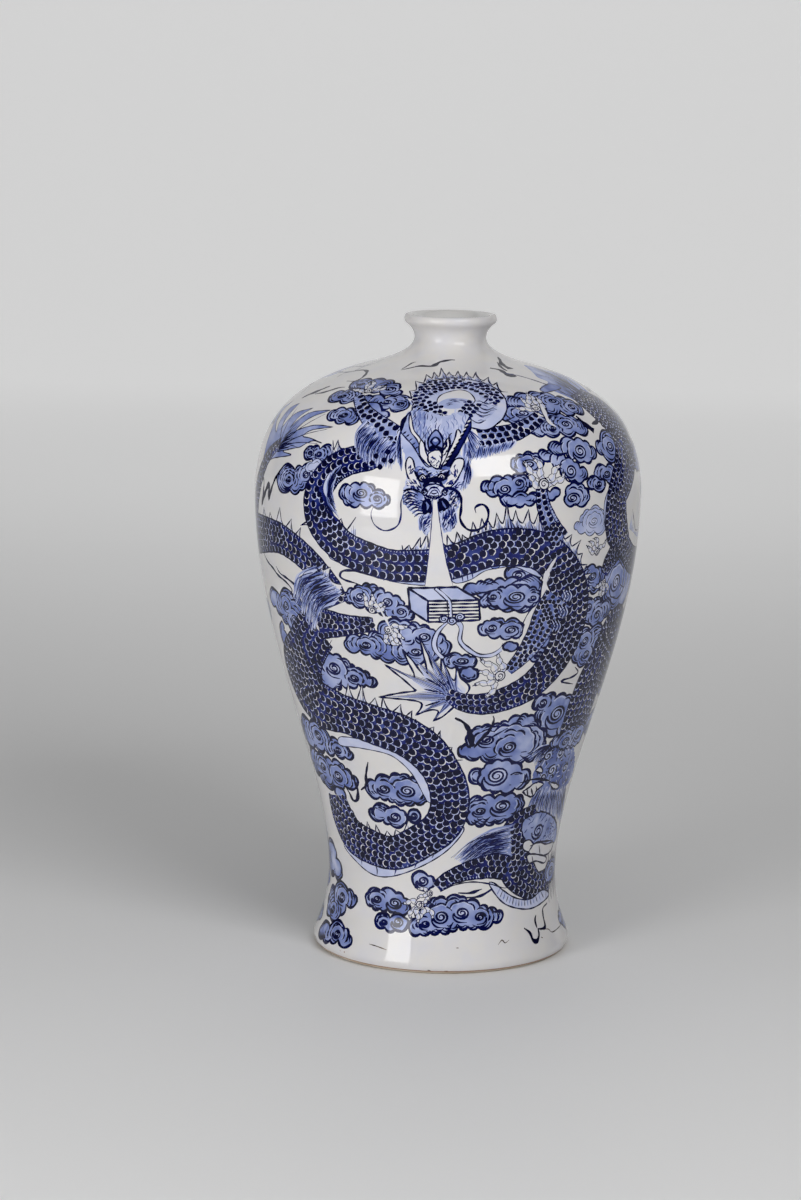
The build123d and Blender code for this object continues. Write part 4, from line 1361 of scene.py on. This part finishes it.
def painted_skin():
    """The coat of outer glaze with the painting on its outer face."""
    flat, tris, top = build_skin()
    # The seam: points at the far right edge are the same as those at the far left
    left = {round(float(p[1]), 2): i for i, p in enumerate(flat) if abs(p[0] + HALF_TURN) < NEAR}
    same = {i: left.get(round(float(p[1]), 2), i) for i, p in enumerate(flat)
        if abs(p[0] - HALF_TURN) < NEAR}
    co, normal = lifted(flat)
    tris = [tuple(same.get(v, v) for v in tri) for tri in tris]
    good = [i for i, tri in enumerate(tris) if len(set(tri)) == 3]
    edge_inks = {}
    for i in good:
        for v in tris[i]:
            edge_inks.setdefault(v, set()).add(top[i])
    used = sorted({v for i in good for v in tris[i]})
    renumber = {v: k for k, v in enumerate(used)}
    faces = [tuple(renumber[v] for v in tris[i]) for i in good]
    back_co, back_normal, back = coat_back(flat, used)
    mesh = bpy.data.meshes.new("painted_glaze_skin")
    mesh.from_pydata(co[used].tolist() + back_co.tolist(), [], faces + back)
    map_ = mesh.uv_layers.new(name="OFBake")
    tables = [INKS[name] for name in INK_NAMES]
    uv = np.tile(np.array(NUDGE) + PLAIN, (len(faces) + len(back), 1))
    where = co / MM
    cobalt = [noise.noise(Vector(p) * 0.09) + 0.5 * noise.noise(Vector(p) * 0.35) for p in where]
    tone = [noise.noise(Vector(p) * 0.03 + Vector((40, 0, 0))) for p in where]
    for k, i in enumerate(good):
        density, vary, pool, tint = tables[top[i]]
        for c, v in enumerate(tris[i]):
            at_edge = 1.0 if len(edge_inks[v]) > 1 else 0.0
            u = density + vary * cobalt[v] * 1.6 + pool * (at_edge - 0.5)
            w = tint + 0.09 * tone[v]
            uv[k * 3 + c] = (min(max(u, 0.005), 0.985) + NUDGE[c][0], min(max(w, 0.01), 0.985) + NUDGE[c][1])
    map_.data.foreach_set("uv", uv.ravel())
    mesh.polygons.foreach_set("use_smooth", [True] * len(mesh.polygons))
    mesh.normals_split_custom_set_from_vertices([tuple(n) for n in np.vstack([normal[used], back_normal])])
    mesh.validate()
    piece = bpy.data.objects.new("painted_glaze_skin", mesh)
    bpy.context.scene.collection.objects.link(piece)
    return piece


def linear(rgb):
    """A colour written as seen on screen, from 0 to 255, turned into scene light."""
    shares = [c / 255 for c in rgb]
    return tuple(c / 12.92 if c <= 0.04045 else ((c + 0.055) / 1.055) ** 2.4 for c in shares) + (1.0,)


def new_material(name, roughness, colour=None):
    material = bpy.data.materials.new(name)
    material.use_nodes = True
    shader = material.node_tree.nodes["Principled BSDF"]
    shader.inputs["Roughness"].default_value = roughness
    if colour:
        shader.inputs["Base Color"].default_value = linear(colour)
    return material, material.node_tree.nodes, material.node_tree.links, shader


def ramp(nodes, stops):
    """A colour ramp through stops of place and colour."""
    node = nodes.new("ShaderNodeValToRGB")
    bands = node.color_ramp.elements
    while len(bands) < len(stops):
        bands.new(0.5)
    for band, (place, rgb) in zip(bands, stops):
        band.position = place
        band.color = linear(rgb)
    return node


# The glaze over the painting. The map's first value is how much cobalt lies there and its second the tone.
glaze, nodes, links, shader = new_material("painted_glaze", 0.07)
palette = nodes.new("ShaderNodeUVMap")
palette.uv_map = "OFBake"
split = nodes.new("ShaderNodeSeparateXYZ")
cobalt_ramp = ramp(nodes, (
    (0.0, (214, 211, 207)), (0.12, (190, 195, 220)), (0.3, (156, 166, 204)), (0.45, (116, 130, 182)),
    (0.62, (62, 78, 144)), (0.8, (16, 26, 96)), (0.93, (2, 6, 54)), (1.0, (0, 1, 30)),
))
iron_ramp = ramp(nodes, ((0.0, (216, 213, 206)), (0.4, (150, 128, 104)), (0.8, (66, 50, 40)),
    (1.0, (24, 20, 18))))
which = nodes.new("ShaderNodeMapRange")
which.inputs["From Min"].default_value = 0.70
which.inputs["From Max"].default_value = 0.78
mix = nodes.new("ShaderNodeMix")
mix.data_type = "RGBA"
links.new(palette.outputs["UV"], split.inputs[0])
links.new(split.outputs["X"], cobalt_ramp.inputs["Fac"])
links.new(split.outputs["X"], iron_ramp.inputs["Fac"])
links.new(split.outputs["Y"], which.inputs["Value"])
links.new(which.outputs["Result"], mix.inputs["Factor"])
links.new(cobalt_ramp.outputs["Color"], mix.inputs["A"])
links.new(iron_ramp.outputs["Color"], mix.inputs["B"])
links.new(mix.outputs["Result"], shader.inputs["Base Color"])
shader.inputs["Specular IOR Level"].default_value = 0.3


def fired(name, roughness, colours, grain, depth, iron=None):
    """A fired surface of clay or glaze. Its colour drifts between two tones with a few specks, and its grain,
    in grains to the metre, lifts and roughens it. Iron is the colour of a bare edge that the kiln browned."""
    material, nodes, links, shader = new_material(name, roughness)
    place = nodes.new("ShaderNodeTexCoord")
    drift, fine, specks = (nodes.new("ShaderNodeTexNoise") for _ in range(3))
    for node, scale, detail in ((drift, 26.0, 3.0), (fine, grain, 4.0), (specks, 420.0, 1.0)):
        node.inputs["Scale"].default_value, node.inputs["Detail"].default_value = scale, detail
        links.new(place.outputs["Object"], node.inputs["Vector"])
    tones = ramp(nodes, ((0.35, colours[0]), (0.65, colours[1])))
    links.new(drift.outputs["Fac"], tones.inputs["Fac"])
    dots = ramp(nodes, ((0.0, (255, 255, 255)), (0.74, (255, 255, 255)), (0.8, (176, 150, 128))))
    links.new(specks.outputs["Fac"], dots.inputs["Fac"])
    mix = nodes.new("ShaderNodeMix")
    mix.data_type, mix.blend_type = "RGBA", "MULTIPLY"
    mix.inputs["Factor"].default_value = 1.0
    links.new(tones.outputs["Color"], mix.inputs["A"])
    links.new(dots.outputs["Color"], mix.inputs["B"])
    colour = mix.outputs["Result"]
    if iron:
        split, edge, brown = (nodes.new(f"ShaderNode{kind}") for kind in ("SeparateXYZ", "MapRange", "Mix"))
        brown.data_type = "RGBA"
        edge.interpolation_type = "SMOOTHSTEP"
        edge.inputs["From Min"].default_value, edge.inputs["From Max"].default_value = 0.0008, 0.0024
        brown.inputs["B"].default_value = linear(iron)
        links.new(place.outputs["Object"], split.inputs[0])
        links.new(split.outputs["Z"], edge.inputs["Value"])
        links.new(edge.outputs["Result"], brown.inputs["Factor"])
        links.new(colour, brown.inputs["A"])
        colour = brown.outputs["Result"]
    links.new(colour, shader.inputs["Base Color"])
    rough = nodes.new("ShaderNodeMapRange")
    rough.inputs["To Min"].default_value = roughness * 0.85
    rough.inputs["To Max"].default_value = roughness * 1.15
    links.new(fine.outputs["Fac"], rough.inputs["Value"])
    links.new(rough.outputs["Result"], shader.inputs["Roughness"])
    bump = nodes.new("ShaderNodeBump")
    bump.inputs["Strength"].default_value, bump.inputs["Distance"].default_value = 0.4, depth
    links.new(fine.outputs["Fac"], bump.inputs["Height"])
    links.new(bump.outputs["Normal"], shader.inputs["Normal"])
    return material


clay = fired("porcelain_clay", 0.72, ((214, 205, 192), (202, 190, 174)), 1400.0, 0.00012)
bare_foot = fired("bare_foot_clay", 0.72, ((210, 200, 186), (192, 176, 156)), 1400.0, 0.00015,
    (142, 104, 76))
slip = fired("luting_slip", 0.8, ((220, 214, 204), (210, 202, 190)), 900.0, 0.0001)
clear = fired("clear_glaze", 0.1, ((212, 210, 207), (205, 204, 203)), 160.0, 0.00005)
for name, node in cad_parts.items():
    finish = slip if name.endswith("slip") else clear if name.endswith("glaze") else clay
    for holder in node.material_slots:
        holder.material = bare_foot if name == "foot_section" else finish

skin = painted_skin()
skin.data.materials.append(glaze)
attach(skin, "root")
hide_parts("outer_glaze")


# The floor, the light and the camera
LIT_FROM = Vector((0.0, 0.0, 0.28))


def area_light(name, azimuth, elevation, far, wide, tall, watts):
    """A softbox that faces the vase. Azimuth runs from the camera's side towards the right."""
    data = bpy.data.lights.new(name, "AREA")
    data.shape, data.size, data.size_y, data.energy = "RECTANGLE", wide, tall, watts
    a, e = math.radians(azimuth), math.radians(elevation)
    out = Vector((math.sin(a) * math.cos(e), -math.cos(a) * math.cos(e), math.sin(e)))
    lamp = bpy.data.objects.new(name, data)
    lamp.location = LIT_FROM + out * far
    lamp.rotation_mode = "QUATERNION"
    lamp.rotation_quaternion = out.to_track_quat("Z", "Y")
    bpy.context.scene.collection.objects.link(lamp)
    return lamp


area_light("softbox_left", -39.0, 6.0, 1.6, 0.62, 0.72, 12.5)
area_light("softbox_right", 31.0, 32.0, 1.6, 0.78, 0.52, 12.5)
# The fill from above and from behind doesn't mirror in the glaze
area_light("fill_top", 0.0, 86.0, 2.0, 2.4, 2.4, 12.0).visible_glossy = False
area_light("fill_back", 180.0, 32.0, 2.2, 1.8, 1.4, 6.0).visible_glossy = False

world = bpy.data.worlds.new("studio")
bpy.context.scene.world = world
world.use_nodes = True
world.node_tree.nodes["Background"].inputs["Color"].default_value = (1.0, 1.0, 1.0, 1.0)
world.node_tree.nodes["Background"].inputs["Strength"].default_value = 0.06

# The floor, which sweeps up behind the vase and turns paler there
BACKDROP = 0.52
sweep = [(-4.0, 0.0), (3.2, 0.0)]
sweep += [(3.2 + math.sin(a), 1.0 - math.cos(a)) for a in np.radians(np.arange(6, 91, 6))] + [(4.2, 4.0)]
mesh = bpy.data.meshes.new("floor")
mesh.from_pydata([(x, y, z) for y, z in sweep for x in (-5.0, 5.0)], [],
                 [(2 * i, 2 * i + 1, 2 * i + 3, 2 * i + 2) for i in range(len(sweep) - 1)])
mesh.polygons.foreach_set("use_smooth", [True] * len(mesh.polygons))
floor = bpy.data.objects.new("floor", mesh)
floor_material, nodes, links, shader = new_material("pale_floor", 0.6, (222, 222, 222))
place = nodes.new("ShaderNodeTexCoord")
split = nodes.new("ShaderNodeSeparateXYZ")
rise = nodes.new("ShaderNodeMapRange")
rise.interpolation_type = "SMOOTHSTEP"
for socket, value in (("From Min", -0.1), ("From Max", 3.6), ("To Max", BACKDROP)):
    rise.inputs[socket].default_value = value
rays = nodes.new("ShaderNodeLightPath")
seen, shown = nodes.new("ShaderNodeMath"), nodes.new("ShaderNodeMath")
seen.operation = shown.operation = "ADD"
shown.use_clamp = True
glow = nodes.new("ShaderNodeMath")
glow.operation = "MULTIPLY"
links.new(place.outputs["Object"], split.inputs[0])
links.new(split.outputs["Y"], rise.inputs["Value"])
links.new(rays.outputs["Is Camera Ray"], seen.inputs[0])
links.new(rays.outputs["Is Glossy Ray"], seen.inputs[1])
links.new(seen.outputs[0], shown.inputs[0])
links.new(rays.outputs["Is Transmission Ray"], shown.inputs[1])
links.new(shown.outputs[0], glow.inputs[0])
links.new(rise.outputs["Result"], glow.inputs[1])
links.new(glow.outputs[0], shader.inputs["Emission Strength"])
shader.inputs["Emission Color"].default_value = (1.0, 1.0, 1.0, 1.0)
mesh.materials.append(floor_material)
bpy.context.scene.collection.objects.link(floor)

lens = bpy.data.cameras.new("photograph")
lens.sensor_fit = "VERTICAL"
lens.sensor_width = lens.sensor_height = SENSOR
lens.lens = FOCAL_PX / FRAME_PX[1] * SENSOR
lens.clip_start, lens.clip_end = 0.1, 30.0
camera = bpy.data.objects.new("photograph", lens)
right = math.cos(ROLL) * eye_right + math.sin(ROLL) * eye_up
up = math.cos(ROLL) * eye_up - math.sin(ROLL) * eye_right
camera.matrix_world = Matrix((
    (right[0], up[0], -eye_ahead[0], CAMERA_AT[0] * MM),
    (right[1], up[1], -eye_ahead[1], CAMERA_AT[1] * MM),
    (right[2], up[2], -eye_ahead[2], CAMERA_AT[2] * MM),
    (0, 0, 0, 1),
))
bpy.context.scene.collection.objects.link(camera)
bpy.context.scene.camera = camera
bpy.context.scene.view_settings.view_transform = "Standard"
